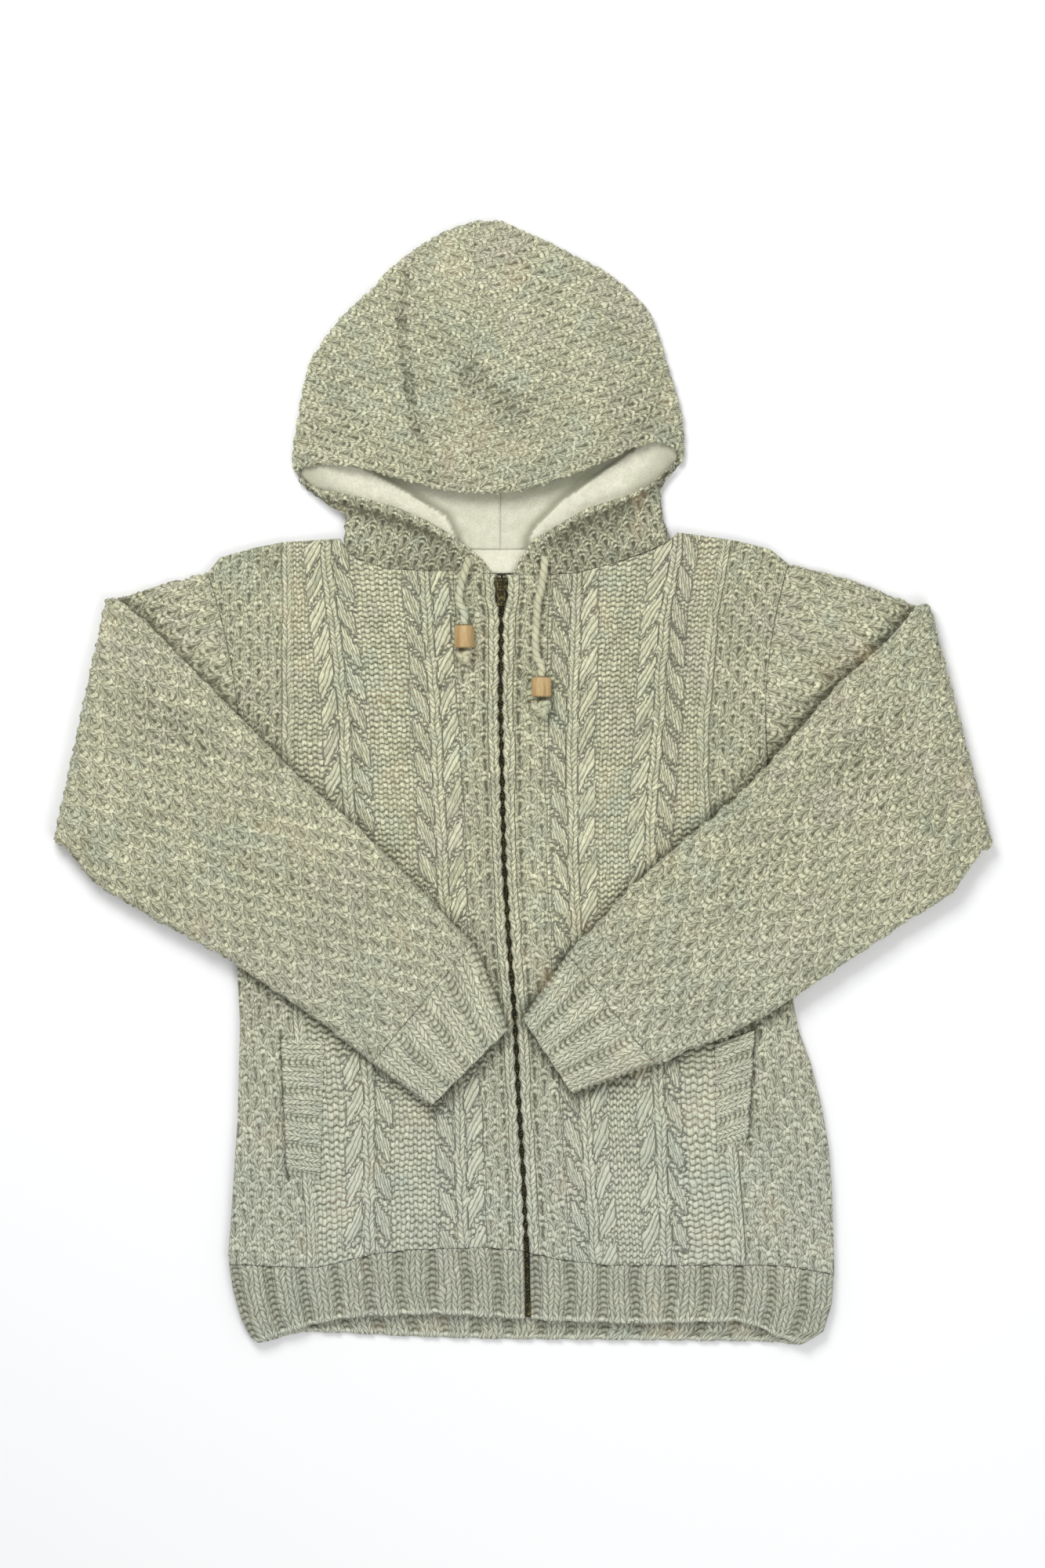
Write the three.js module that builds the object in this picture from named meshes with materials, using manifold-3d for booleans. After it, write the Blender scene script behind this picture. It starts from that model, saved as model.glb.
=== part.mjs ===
// A chunky hand-knit cardigan with a hood and a zip, laid flat on its back with both sleeves folded
// over the front. Millimetres, +Z up, +Y to the hood. Right and left are the wearer's: right is -X.
import * as THREE from 'three';
import { mergeVertices } from 'three/addons/utils/BufferGeometryUtils.js';
import Module from 'manifold-3d';

const wasm = await Module();
wasm.setup();

// ---- driving dimensions ----
const WALL = 4; // thickness of the knit
const GAP = 0.3; // between pieces that touch
const FRONT_BASE = 5.6; // underside of the fronts, above the back and the zip tapes
const TUBE = 9.6; // a flattened sleeve: two walls and a thin hollow
const FOLD_GAP = 0.7; // between the two runs of a folded sleeve
const SEAM_GAP = 0.6; // between a sleeve and its curved armhole
const HEM_GAP = 1; // between a panel and its hem rib
const RIM = 2.5; // width over which a panel's edge rounds off
const RIM_INSET = 1.3; // how far the inner face stops short of the rim
const STEM_RISE = 1.6; // double knit column in the middle of a tree cable
const BRANCH_RISE = 1.8;
const RIB_RISE = 1.2;
const BRANCH_SLOPE = 1.4; // a branch climbs this much per millimetre across
const BRANCH_TOP_PITCH = 26; // between branches at the neck
const BRANCH_HEM_PITCH = 33; // and at the hem
const HEM_RIB_PITCH = 27;
const WELT_RIB_PITCH = 22;
const WELT_WALL = 3;
const CORD_DIAMETER = 6.4;
const TOGGLE_DIAMETER = 16.4;
const LINING_WALL = 2;
const CHAIN_HALF = 2.8; // half the width of the closed teeth
const CHAIN_TOP = 7.4;
const TAPE_TOP = 5.1;
const TAPE_HALF = 15;
const SLIDER = { x: -18.4, y: 163.6, width: 9.6, length: 14, low: 7.7, high: 10.3 };
const PIVOT = { y: 166.3, z: 11.8 }; // hinge of the pull tab
const PULL = { width: 7, length: 20, thick: 1.2 };

const WOOL = 0xb3b39a;
const FLEECE = 0xe2e0cd;
const BRASS = 0x55503a;
const WOOD = 0xae9a68;

// ---- small tools ----
const table = (names, rows) =>
  rows.map((row) => Object.fromEntries(names.map((name, i) => [name, row[i]])));

// Value of a column where the key column has the value at, straight between rows.
function read(rows, key, at, name) {
  if (at <= rows[0][key]) return rows[0][name];
  for (let i = 1; i < rows.length; i++) {
    const [a, b] = [rows[i - 1], rows[i]];
    if (at <= b[key]) return a[name] + ((b[name] - a[name]) * (at - a[key])) / (b[key] - a[key]);
  }
  return rows[rows.length - 1][name];
}

const clamp01 = (t) => Math.min(1, Math.max(0, t));
const smooth = (t) => clamp01(t) ** 2 * (3 - 2 * clamp01(t));
const range = (count) => Array.from({ length: count }, (_, i) => i);

// ---- tables of the flat shape ----
const SIDE_RIGHT = table(['y', 'x'], [
  [-470, -216], [-465, -220], [-460, -226], [-444, -234], [-419, -241], [-391, -245], [-369, -243],
  [-323, -240], [-278, -237], [-198, -235], [-163, -237], [-29, -237],
]);
const SIDE_LEFT = table(['y', 'x'], [
  [-470, 222], [-465, 233], [-455, 249], [-432, 256], [-403, 258], [-369, 257], [-334, 256],
  [-300, 253], [-266, 247], [-231, 238], [-204, 228], [-181, 224], [-130, 220], [-59, 216],
]);
// Armholes: from the shoulder point down to the underarm, bowed sideways.
const ARMHOLE_RIGHT = { top: { x: -262, y: 174 }, low: { x: -237, y: -29 }, bow: 11 };
const ARMHOLE_LEFT = { top: { x: 220, y: 182 }, low: { x: 216, y: -59 }, bow: -17 };

const ZIP = table(['y', 'x'], [
  [-446, 4], [-391, 3], [-326, 0], [-261, -4], [-196, -7], [-131, -12], [-66, -16], [64, -19], [180, -18],
]);
// Columns of the right front: single rib, and the stems of the two tree cables.
const COLUMNS_RIGHT = table(['y', 'rib', 'outer', 'inner'], [
  [-386, -176, -128, -49], [-261, -182, -128, -54], [-55, -196, -141, -68], [65, -196, -150, -74],
  [185, -196, -163, -83],
]);
const COLUMNS_LEFT = table(['y', 'rib', 'outer', 'inner'], [
  [-391, 180, 119, 60], [-261, 170, 112, 50], [-43, 152, 105, 41], [41, 149, 111, 41],
  [137, 158, 117, 43], [198, 169, 128, 46],
]);
// Shoulders and neck, then the top of the hem rib, the front hem and the back hem.
const TOP_EDGE = table(['x', 'y'], [
  [-262, 174], [-252, 187], [-225, 195], [-199, 200], [-152, 203], [-146, 193], [-138, 186], [-115, 178],
  [-84, 176], [-43, 176], [-18, 173], [12, 173], [44, 174], [78, 183], [102, 192], [120, 200], [128, 208],
  [151, 205], [178, 201], [205, 194], [220, 182],
]);
const RIB_TOP = table(['x', 'y'], [
  [-245, -399], [-208, -401], [-172, -402], [-150, -397], [-126, -391], [-92, -387], [-33, -385], [-1, -388],
  [28, -395], [73, -400], [119, -400], [210, -400], [233, -403], [258, -408],
]);
const FRONT_HEM = table(['x', 'y'], [
  [-220, -464], [-198, -456], [-176, -449], [-152, -444], [-131, -442], [-69, -440], [-24, -443], [2, -444],
  [28, -446], [96, -448], [176, -446], [194, -450], [210, -459], [232, -465],
]);
const BACK_HEM = table(['x', 'y'], [
  [-220, -465], [-206, -461], [-184, -455], [-149, -456], [-92, -459], [-24, -461], [96, -462], [199, -463],
  [232, -466],
]);
// Hood silhouette: its left and right limits at each height.
const HOOD = table(['y', 'low', 'high'], [
  [160, -150, 122], [203, -150, 122], [215, -147, 117], [231, -147, 114], [238, -172, 114], [244, -180, 114],
  [255, -189, 121], [268, -193, 133], [284, -191, 134], [305, -187, 132], [324, -184, 127],
  [348, -178, 119], [369, -166, 113], [390, -148, 105], [411, -125, 86], [430, -109, 60], [446, -87, 28],
  [458, -66, -2], [466, -42, -16],
]);
const CROWN_EDGE = table(['x', 'y'], [
  [-187, 261], [-164, 264], [-132, 260], [-103, 252], [-66, 242], [-40, 240], [-13, 240], [13, 246],
  [40, 255], [67, 266], [93, 278], [111, 283], [122, 280], [129, 273],
]);
const COLLAR_EDGE = table(['x', 'y'], [
  [-186, 255], [-173, 245], [-138, 238], [-106, 229], [-80, 218], [-53, 202], [-34, 186], [-27, 176],
  [-26, 150], [-8, 150], [-8, 176], [8, 202], [30, 215], [53, 228], [87, 239], [111, 251], [127, 268],
]);
const HOOD_SEAM = table(['y', 'x'], [[150, -19], [195, -19], [240, -41], [337, -43], [480, -43]]);

// Sleeves once folded: the two edges of each cross-section, from the fold to the cuff.
const FOLDED_RIGHT = table(['upperX', 'upperY', 'lowerX', 'lowerY', 'base'], [
  [-312, 133, -356, -82, 10.4], [-271, 91, -322, -103, 11.0], [-229, 49, -285, -124, 11.8],
  [-188, 7, -250, -142, 12.2], [-139, -35, -206, -172, 12.2], [-91, -82, -165, -200, 12.2],
  [-58, -117, -138, -222, 12.2], [-42, -133, -125, -231, 12.2],
]);
const FOLDED_LEFT = table(['upperX', 'upperY', 'lowerX', 'lowerY', 'base'], [
  [302, 118, 355, -92, 10.4], [259, 80, 320, -113, 11.0], [219, 33, 285, -137, 11.8],
  [177, -11, 250, -160, 12.2], [132, -49, 210, -187, 12.2], [89, -86, 170, -209, 12.2],
  [58, -120, 135, -222, 12.2], [36, -141, 110, -234, 12.2],
]);
const SLEEVE_RIGHT = {
  armhole: ARMHOLE_RIGHT,
  outward: -1,
  fold: { upper: { x: -336, y: 152 }, lower: { x: -380, y: -52 } },
  middle: { upper: { x: -300, y: 165 }, lower: { x: -308, y: -41 } },
  folded: FOLDED_RIGHT,
  cuffEnd: { upper: { x: -13, y: -204 }, lower: { x: -76, y: -267 } },
};
const SLEEVE_LEFT = {
  armhole: ARMHOLE_LEFT,
  outward: 1,
  fold: { upper: { x: 327, y: 147 }, lower: { x: 380, y: -56 } },
  middle: { upper: { x: 274, y: 168 }, lower: { x: 298, y: -58 } },
  folded: FOLDED_LEFT,
  cuffEnd: { upper: { x: -1, y: -194 }, lower: { x: 41, y: -258 } },
};
const WELT_RIGHT = {
  topOuter: [-201, -212],
  topInner: [-164, -213],
  lowOuter: [-196, -326],
  lowInner: [-168, -331],
};
const WELT_LEFT = {
  topOuter: [192, -204],
  topInner: [158, -216],
  lowOuter: [186, -299],
  lowInner: [160, -309],
};
// Drawstring ends: laid by hand over the front, height at the middle of the cord.
const CORD_RIGHT = table(['x', 'y', 'z'], [
  [-45, 187, 16.6], [-48, 176, 17.6], [-52, 163, 17.6], [-53, 151, 18.2],
  [-49, 141, 20.1], [-49, 131.3, 20.1],
]);
const CORD_LEFT = table(['x', 'y', 'z'], [
  [18, 188, 16.6], [17, 176, 17.4], [15, 162, 16.2], [12, 150, 15.6], [11, 135, 15.6], [10, 118, 15.8],
  [11, 105, 17.6], [15, 97, 20.1], [15, 88.3, 20.1],
]);

// ---- closed surfaces ----
// An indexed geometry from points and faces, with its faces turned outward.
function closed(points, faces) {
  let volume = 0;
  for (const [a, b, c] of faces) {
    volume += points[a].dot(new THREE.Vector3().crossVectors(points[b], points[c]));
  }
  const order = volume < 0 ? faces.map(([a, b, c]) => [a, c, b]) : faces;
  const geometry = new THREE.BufferGeometry().setFromPoints(points);
  geometry.setIndex(order.flat());
  geometry.computeVertexNormals();
  return geometry;
}

// An outline moved inward, vertex by vertex. It wavers a little, as an edge of cloth does, so no three
// points lie on one line.
function inset(outline, distance) {
  const sign = THREE.ShapeUtils.isClockWise(outline) ? -1 : 1;
  return outline.map((point, i) => {
    const before = outline[(i + outline.length - 1) % outline.length];
    const after = outline[(i + 1) % outline.length];
    const step = sign * distance * (1 + 0.04 * Math.sin(2.4 * i));
    const along = after.clone().sub(before).normalize().multiplyScalar(step);
    return new THREE.Vector2(point.x - along.y, point.y + along.x);
  });
}

// Rings joined one to the next, the last one capped.
function joinLoops(loops) {
  const points = loops.flat();
  const count = loops[0].length;
  const faces = [];
  for (let k = 0; k + 1 < loops.length; k++) {
    for (let i = 0; i < count; i++) {
      const a = k * count + i;
      const b = k * count + ((i + 1) % count);
      faces.push([a, b, b + count], [a, b + count, a + count]);
    }
  }
  return { points, faces };
}

// A slab with rounded edges on an outline.
function slab(outline, low, high, round = 0.5) {
  const flat = outline.map(([x, y]) => new THREE.Vector2(x, y));
  if (THREE.ShapeUtils.isClockWise(flat)) flat.reverse();
  const inner = inset(flat, round);
  const middle = (low + high) / 2;
  const at = (loop, z) => loop.map((p) => new THREE.Vector3(p.x, p.y, z));
  const { points, faces } = joinLoops([at(inner, low), at(flat, middle), at(inner, high)]);
  const top = 2 * flat.length;
  for (const [a, b, c] of THREE.ShapeUtils.triangulateShape(inner, [])) {
    faces.push([a, c, b], [top + a, top + b, top + c]);
  }
  return closed(points, faces);
}

// A wall from rows of outer points: the outermost points are its rim, its inner face is plain.
function wallFromGrid(grid, base) {
  const lines = grid[0].length;
  const rows = grid.length;
  const points = grid.flat();
  const faces = [];
  for (let j = 0; j + 1 < rows; j++) {
    for (let i = 0; i + 1 < lines; i++) {
      const a = j * lines + i;
      faces.push([a, a + 1, a + lines + 1], [a, a + lines + 1, a + lines]);
    }
  }
  const rim = [
    ...range(lines),
    ...range(rows - 1).map((j) => (j + 1) * lines + lines - 1),
    ...range(lines - 1).map((i) => (rows - 1) * lines + lines - 2 - i),
    ...range(rows - 2).map((j) => (rows - 2 - j) * lines),
  ];
  const flat = rim.map((k) => new THREE.Vector2(points[k].x, points[k].y));
  const inner = inset(flat, RIM_INSET);
  const first = points.length;
  inner.forEach((p) => points.push(new THREE.Vector3(p.x, p.y, base)));
  rim.forEach((outer, k) => {
    const next = (k + 1) % rim.length;
    faces.push([rim[next], outer, first + k], [rim[next], first + k, first + next]);
  });
  const turned = THREE.ShapeUtils.isClockWise(inner);
  for (const [a, b, c] of THREE.ShapeUtils.triangulateShape(inner, [])) {
    faces.push(turned ? [first + a, first + b, first + c] : [first + a, first + c, first + b]);
  }
  return closed(points, faces);
}

// ---- body ----
const armholeX = (armhole, y) => {
  const t = clamp01((armhole.top.y - y) / (armhole.top.y - armhole.low.y));
  return armhole.top.x + (armhole.low.x - armhole.top.x) * t + armhole.bow * 4 * t * (1 - t);
};
const RIGHT = {
  sign: -1, armhole: ARMHOLE_RIGHT, side: SIDE_RIGHT, columns: COLUMNS_RIGHT, sleeve: SLEEVE_RIGHT,
  welt: WELT_RIGHT, cord: CORD_RIGHT,
};
const LEFT = {
  sign: 1, armhole: ARMHOLE_LEFT, side: SIDE_LEFT, columns: COLUMNS_LEFT, sleeve: SLEEVE_LEFT,
  welt: WELT_LEFT, cord: CORD_LEFT,
};
const sideX = (half, y) =>
  y > half.armhole.low.y ? armholeX(half.armhole, y) : read(half.side, 'y', y, 'x');
// The fronts part a little more at the top, where the slider sits.
const zipX = (half, y) => read(ZIP, 'y', y, 'x') + half.sign * (3.2 + 2.5 * smooth((y - 128) / 24));

// Lines up a front: the column each one follows, its distance outward from it, what it carries, and
// how far its rows are shifted so that they run along the branches.
const BRANCH_REACH = 17;
const DROP = BRANCH_SLOPE * BRANCH_REACH;
const FRONT_LINES = table(['column', 'out', 'part', 'shift'], [
  ['side', 0, 'rim', 0], ['side', -RIM, 'plain', -0.4 * DROP], ['rib', 14, 'plain', -0.4 * DROP],
  ['rib', 5, 'plain', -0.4 * DROP], ['rib', 0, 'rib', -0.4 * DROP], ['rib', -5, 'plain', -0.5 * DROP],
  ['outer', 20, 'plain', -DROP], ['outer', 14, 'branch', -0.85 * DROP], ['outer', 6, 'foot', -0.35 * DROP],
  ['outer', 0, 'stem', 0],
  ['outer', -6, 'foot', -0.35 * DROP], ['outer', -14, 'branch', -0.85 * DROP], ['outer', -20, 'plain', -DROP],
  ['between', 0, 'plain', -0.5 * DROP],
  ['inner', 19, 'plain', 0], ['inner', 13, 'branch', -0.2 * DROP], ['inner', 6, 'foot', -0.65 * DROP],
  ['inner', 0, 'stem', -DROP],
  ['inner', -6, 'foot', -0.65 * DROP], ['inner', -12, 'branch', -0.2 * DROP], ['zip', 17, 'plain', 0],
  ['zip', RIM, 'band', 0], ['zip', 0, 'rim', 0],
]);
const FRONT_TOP = 185;
const FRONT_LOW = -386;

// Rows up a front: three for each branch, the middle one raised.
function frontRows() {
  const rows = [FRONT_LOW];
  while (rows[rows.length - 1] < FRONT_TOP - 9) {
    const share = (rows[rows.length - 1] - FRONT_LOW) / (FRONT_TOP - FRONT_LOW);
    rows.push(rows[rows.length - 1] + (BRANCH_HEM_PITCH + (BRANCH_TOP_PITCH - BRANCH_HEM_PITCH) * share) / 3);
  }
  rows[rows.length - 1] = FRONT_TOP;
  return rows;
}

function underWelt(half, x, y) {
  const { topOuter, topInner, lowOuter } = half.welt;
  const across = half.sign * x;
  const margin = 14;
  return (
    across > half.sign * topInner[0] - 3 && across < half.sign * topOuter[0] + 8 &&
    y < topOuter[1] + margin && y > lowOuter[1] - margin
  );
}

function frontGrid(half) {
  const lineX = (line, y) => {
    if (line.column === 'side') return sideX(half, y) + half.sign * line.out;
    if (line.column === 'zip') return zipX(half, y) + half.sign * line.out;
    const stem = (column) => read(half.columns, 'y', y, column);
    if (line.column === 'between') return (stem('outer') + stem('inner')) / 2;
    return stem(line.column) + half.sign * line.out;
  };
  const relief = { rim: 0, plain: 0, band: 0.4, stem: STEM_RISE, foot: 0.6, branch: 0, rib: RIB_RISE };
  const rows = frontRows();
  const grid = rows.map((rowY, j) => {
    const atEdge = j === 0 || j === rows.length - 1;
    const onBranch = j % 3 === 1 && !atEdge;
    const open = smooth(Math.min(rowY - FRONT_LOW, FRONT_TOP - rowY) / 80);
    return FRONT_LINES.map((line) => {
      const share = (rowY + line.shift * open - FRONT_LOW) / (FRONT_TOP - FRONT_LOW);
      let y = rowY;
      let x = 0;
      // The height and the place across depend on each other, so they are settled in a few turns.
      for (let turn = 0; turn < 8; turn++) {
        x = lineX(line, y);
        const low = read(RIB_TOP, 'x', x, 'y');
        y = low + share * (read(TOP_EDGE, 'x', x, 'y') - low);
      }
      let rise = relief[line.part];
      if (onBranch && (line.part === 'branch' || line.part === 'foot')) rise = BRANCH_RISE;
      if (underWelt(half, x, y)) rise = 0;
      const edge = atEdge || line.part === 'rim';
      return new THREE.Vector3(x, y, edge ? FRONT_BASE + WALL / 2 : FRONT_BASE + WALL + rise);
    });
  });
  // A row near each end keeps the rounding of the rim narrow.
  const nearRow = (edge, next) =>
    edge.map((p, i) => {
      const inner = next[i];
      const step = Math.min(1, RIM / p.distanceTo(inner));
      const point = p.clone().lerp(inner, step);
      point.z = i === 0 || i === edge.length - 1 ? FRONT_BASE + WALL / 2 : FRONT_BASE + WALL;
      return point;
    });
  grid.splice(1, 0, nearRow(grid[0], grid[1]));
  grid.splice(grid.length - 1, 0, nearRow(grid[grid.length - 1], grid[grid.length - 2]));
  return grid;
}
RIGHT.grid = frontGrid(RIGHT);
LEFT.grid = frontGrid(LEFT);
// The fronts' own ends, from right to left: what meets them is made from these points.
const SHOULDERS = [...RIGHT.grid.at(-1), ...[...LEFT.grid.at(-1)].reverse()];
const WAIST = [...RIGHT.grid[0], ...[...LEFT.grid[0]].reverse()];

// Shares across a ribbed edge, with the rise at each: a raised stretch two thirds of each rib wide.
function ribLines(length, pitch, rise) {
  const ribs = Math.max(2, Math.round(length / pitch));
  const profile = table(['at', 'high'], [[0.04, 0], [0.26, 0], [0.4, 1], [0.9, 1]]);
  return range(ribs).flatMap((i) =>
    profile.map(({ at, high }) => ({ share: (i + at) / ribs, rise: rise * high })),
  );
}

// A hem rib between two heights, from one limit across to the other, both given at a height.
function ribbedStrip(firstX, lastX, lowY, highY, base, wall, rise, length) {
  const lines = [
    { share: 0, rise: 0, rim: true },
    ...ribLines(length, HEM_RIB_PITCH, rise),
    { share: 1, rise: 0, rim: true },
  ];
  lines[1].share = RIM / length;
  lines[lines.length - 2].share = 1 - RIM / length;
  const height = 55;
  const levels = [0, RIM / height, 1 - RIM / height, 1];
  const grid = levels.map((level) =>
    lines.map((line) => {
      let y = -430 + 40 * (level - 0.5);
      let x = 0;
      for (let turn = 0; turn < 8; turn++) {
        x = firstX(y) + line.share * (lastX(y) - firstX(y));
        y = lowY(x) + level * (highY(x) - lowY(x));
      }
      const edge = line.rim || level === 0 || level === 1;
      return new THREE.Vector3(x, y, edge ? base + wall / 2 : base + wall + line.rise);
    }),
  );
  return wallFromGrid(grid, base);
}

const ribTopY = (x) => read(WAIST, 'x', x, 'y') - HEM_GAP;
const frontHem = (half) =>
  ribbedStrip(
    half.sign < 0 ? (y) => sideX(half, y) : (y) => zipX(half, y),
    half.sign < 0 ? (y) => zipX(half, y) : (y) => sideX(half, y),
    (x) => read(FRONT_HEM, 'x', x, 'y'), ribTopY, FRONT_BASE, WALL, RIB_RISE, 240,
  );
const backHem = () =>
  ribbedStrip(
    (y) => sideX(RIGHT, y), (y) => sideX(LEFT, y), (x) => read(BACK_HEM, 'x', x, 'y'), ribTopY,
    0, WALL - RIB_RISE, RIB_RISE, 490,
  );

// The back has the fronts' outline, with the gap at the zip closed.
function back() {
  const flat = (points) => points.map(({ x, y }) => [x, y]);
  const right = RIGHT.grid.slice(1, -1).filter((row, j) => j % 3 === 0).map((row) => row[0]);
  const left = LEFT.grid.slice(1, -1).filter((row, j) => j % 3 === 0).map((row) => row[0]);
  const outline = [...flat(WAIST), ...flat(left), ...flat(SHOULDERS).reverse(), ...flat(right).reverse()];
  return slab(outline, 0, WALL, RIM_INSET);
}

function pocketWelt(half) {
  const { topOuter, topInner, lowOuter, lowInner } = half.welt;
  const corner = ([x, y]) => new THREE.Vector2(x, y);
  const [topO, topI, lowO, lowI] = [topOuter, topInner, lowOuter, lowInner].map(corner);
  const length = topO.distanceTo(lowO);
  const rows = [
    { share: 0, rise: 0 }, ...ribLines(length, WELT_RIB_PITCH, RIB_RISE), { share: 1, rise: 0 },
  ];
  rows[1].share = RIM / length;
  rows[rows.length - 2].share = 1 - RIM / length;
  const width = topO.distanceTo(topI);
  const lines = [0, RIM / width, 0.5, 1 - RIM / width, 1];
  const base = FRONT_BASE + WALL + GAP;
  const grid = rows.map(({ share, rise }, j) =>
    lines.map((across, i) => {
      const low = lowI.clone().lerp(lowO, across);
      const point = low.lerp(topI.clone().lerp(topO, across), share);
      const edge = i === 0 || i === lines.length - 1 || j === 0 || j === rows.length - 1;
      return new THREE.Vector3(point.x, point.y, edge ? base + WELT_WALL / 2 : base + WELT_WALL + rise);
    }),
  );
  return wallFromGrid(grid, base);
}

// ---- sleeves and cuffs ----
const ARC = [-45, 0, 45].map((degrees) => (degrees * Math.PI) / 180);

// Shares along the chord and heights of a flattened ring, once round: underside, end, top, end.
function flatRing(length, insetBy, low, high, sides) {
  const radius = (high - low) / 2;
  const endShare = (angle) => (insetBy + radius - radius * Math.cos(angle)) / length;
  const endHeight = (angle) => low + radius + radius * Math.sin(angle);
  const reach = (insetBy + radius) / length;
  const across = (share) => reach + share * (1 - 2 * reach);
  return [
    ...sides.map(({ share, under }) => ({ share: across(share), height: low + under })),
    ...ARC.map((angle) => ({ share: 1 - endShare(angle), height: endHeight(angle) })),
    ...[...sides].reverse().map(({ share, over }) => ({ share: across(share), height: high - over })),
    ...[...ARC].reverse().map((angle) => ({ share: endShare(angle), height: endHeight(angle) })),
  ];
}

// Places a point of a flattened ring: roll 0 lies on its underside, half a turn on its back.
function placeOnSection(section, { share, height }) {
  const { upper, lower, bow = 0, base, roll, outward } = section;
  const along = new THREE.Vector2(lower.x - upper.x, lower.y - upper.y).normalize();
  const away = new THREE.Vector2(-along.y * outward, along.x * outward);
  const reach = TUBE + FOLD_GAP / 2 - height;
  const sideways = reach * Math.sin(roll);
  const x = upper.x + (lower.x - upper.x) * share + bow * 4 * share * (1 - share) + away.x * sideways;
  const y = upper.y + (lower.y - upper.y) * share + away.y * sideways;
  if (roll === 0) return new THREE.Vector3(x, y, height);
  if (roll === Math.PI) return new THREE.Vector3(x, y, base + TUBE - height);
  return new THREE.Vector3(x, y, TUBE + FOLD_GAP / 2 - reach * Math.cos(roll));
}

// An open tube through its sections, with the wall between an outer and an inner ring.
function tube(sections, outerSides, innerSides) {
  const rings = sections.map((section) => {
    const { upper, lower } = section;
    const length = Math.hypot(lower.x - upper.x, lower.y - upper.y);
    const place = (ring) => ring.map((point) => placeOnSection(section, point));
    return {
      outer: place(flatRing(length, 0, 0, TUBE, outerSides)),
      inner: place(flatRing(length, WALL, WALL, TUBE - WALL, innerSides)),
    };
  });
  // Out along the outer rings, back along the inner ones, and closed on itself.
  const loops = [...rings.map(({ outer }) => outer), ...[...rings].reverse().map(({ inner }) => inner)];
  const { points, faces } = joinLoops([...loops, loops[0]]);
  const count = loops[0].length;
  const total = loops.length * count;
  return closed(points.slice(0, total), faces.map((face) => face.map((k) => k % total)));
}

const PLAIN_SIDES = range(9).map((i) => ({ share: i / 8, under: 0, over: 0 }));

function sleeve(half) {
  const { armhole, fold, middle, folded } = half.sleeve;
  const outward = half.sign;
  const seam = SEAM_GAP * half.sign;
  const start = {
    upper: { x: armhole.top.x + seam, y: armhole.top.y },
    lower: { x: armhole.low.x + seam, y: armhole.low.y },
    bow: armhole.bow, base: 0, roll: 0, outward,
  };
  const near = { ...middle, bow: armhole.bow * 0.5, base: 0, roll: 0, outward };
  const turn = [0, 45, 90, 135, 180].map((degrees) => ({
    ...fold, base: TUBE + FOLD_GAP, roll: (degrees * Math.PI) / 180, outward,
  }));
  const over = folded.map(({ upperX, upperY, lowerX, lowerY, base }) => ({
    upper: { x: upperX, y: upperY }, lower: { x: lowerX, y: lowerY }, base, roll: Math.PI, outward,
  }));
  return tube([start, near, ...turn, ...over], PLAIN_SIDES, PLAIN_SIDES);
}

function cuff(half) {
  const { folded, cuffEnd } = half.sleeve;
  const last = folded[folded.length - 1];
  const start = { upper: { x: last.upperX, y: last.upperY }, lower: { x: last.lowerX, y: last.lowerY } };
  const mix = (a, b, t) => ({ x: a.x + (b.x - a.x) * t, y: a.y + (b.y - a.y) * t });
  const sections = [0.006, 0.4, 0.8, 1].map((t) => ({
    upper: mix(start.upper, cuffEnd.upper, t), lower: mix(start.lower, cuffEnd.lower, t),
    base: last.base, roll: Math.PI, outward: half.sign,
  }));
  const ribs = ribLines(104, 26, 1).map(({ share, rise }) => ({
    share, under: (1 - rise) * RIB_RISE, over: (1 - rise) * RIB_RISE,
  }));
  return tube(sections, ribs, ribs.map(({ share }) => ({ share, under: 0, over: 0 })));
}

// ---- hood ----
const hoodEdge = (y) => ({ low: read(HOOD, 'y', y, 'low'), high: read(HOOD, 'y', y, 'high') });
// Height of the hood's top: thin at its edge, raised over the mouth and in the middle of the crown.
function hoodTop(x, y) {
  const { low, high } = hoodEdge(y);
  const edge = TUBE + 1.4 * smooth((y - 180) / 12);
  const inside = smooth(Math.min(x - low, high - x) / 48);
  const mouth = 7 * smooth((y - 180) / 58) * (1 - 0.8 * smooth((y - 300) / 150));
  const dome = 7 * clamp01(1 - ((x + 30) / 160) ** 2) * clamp01(1 - ((y - 305) / 155) ** 2);
  return edge + inside * (mouth + dome * smooth((y - 205) / 45));
}

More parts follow.
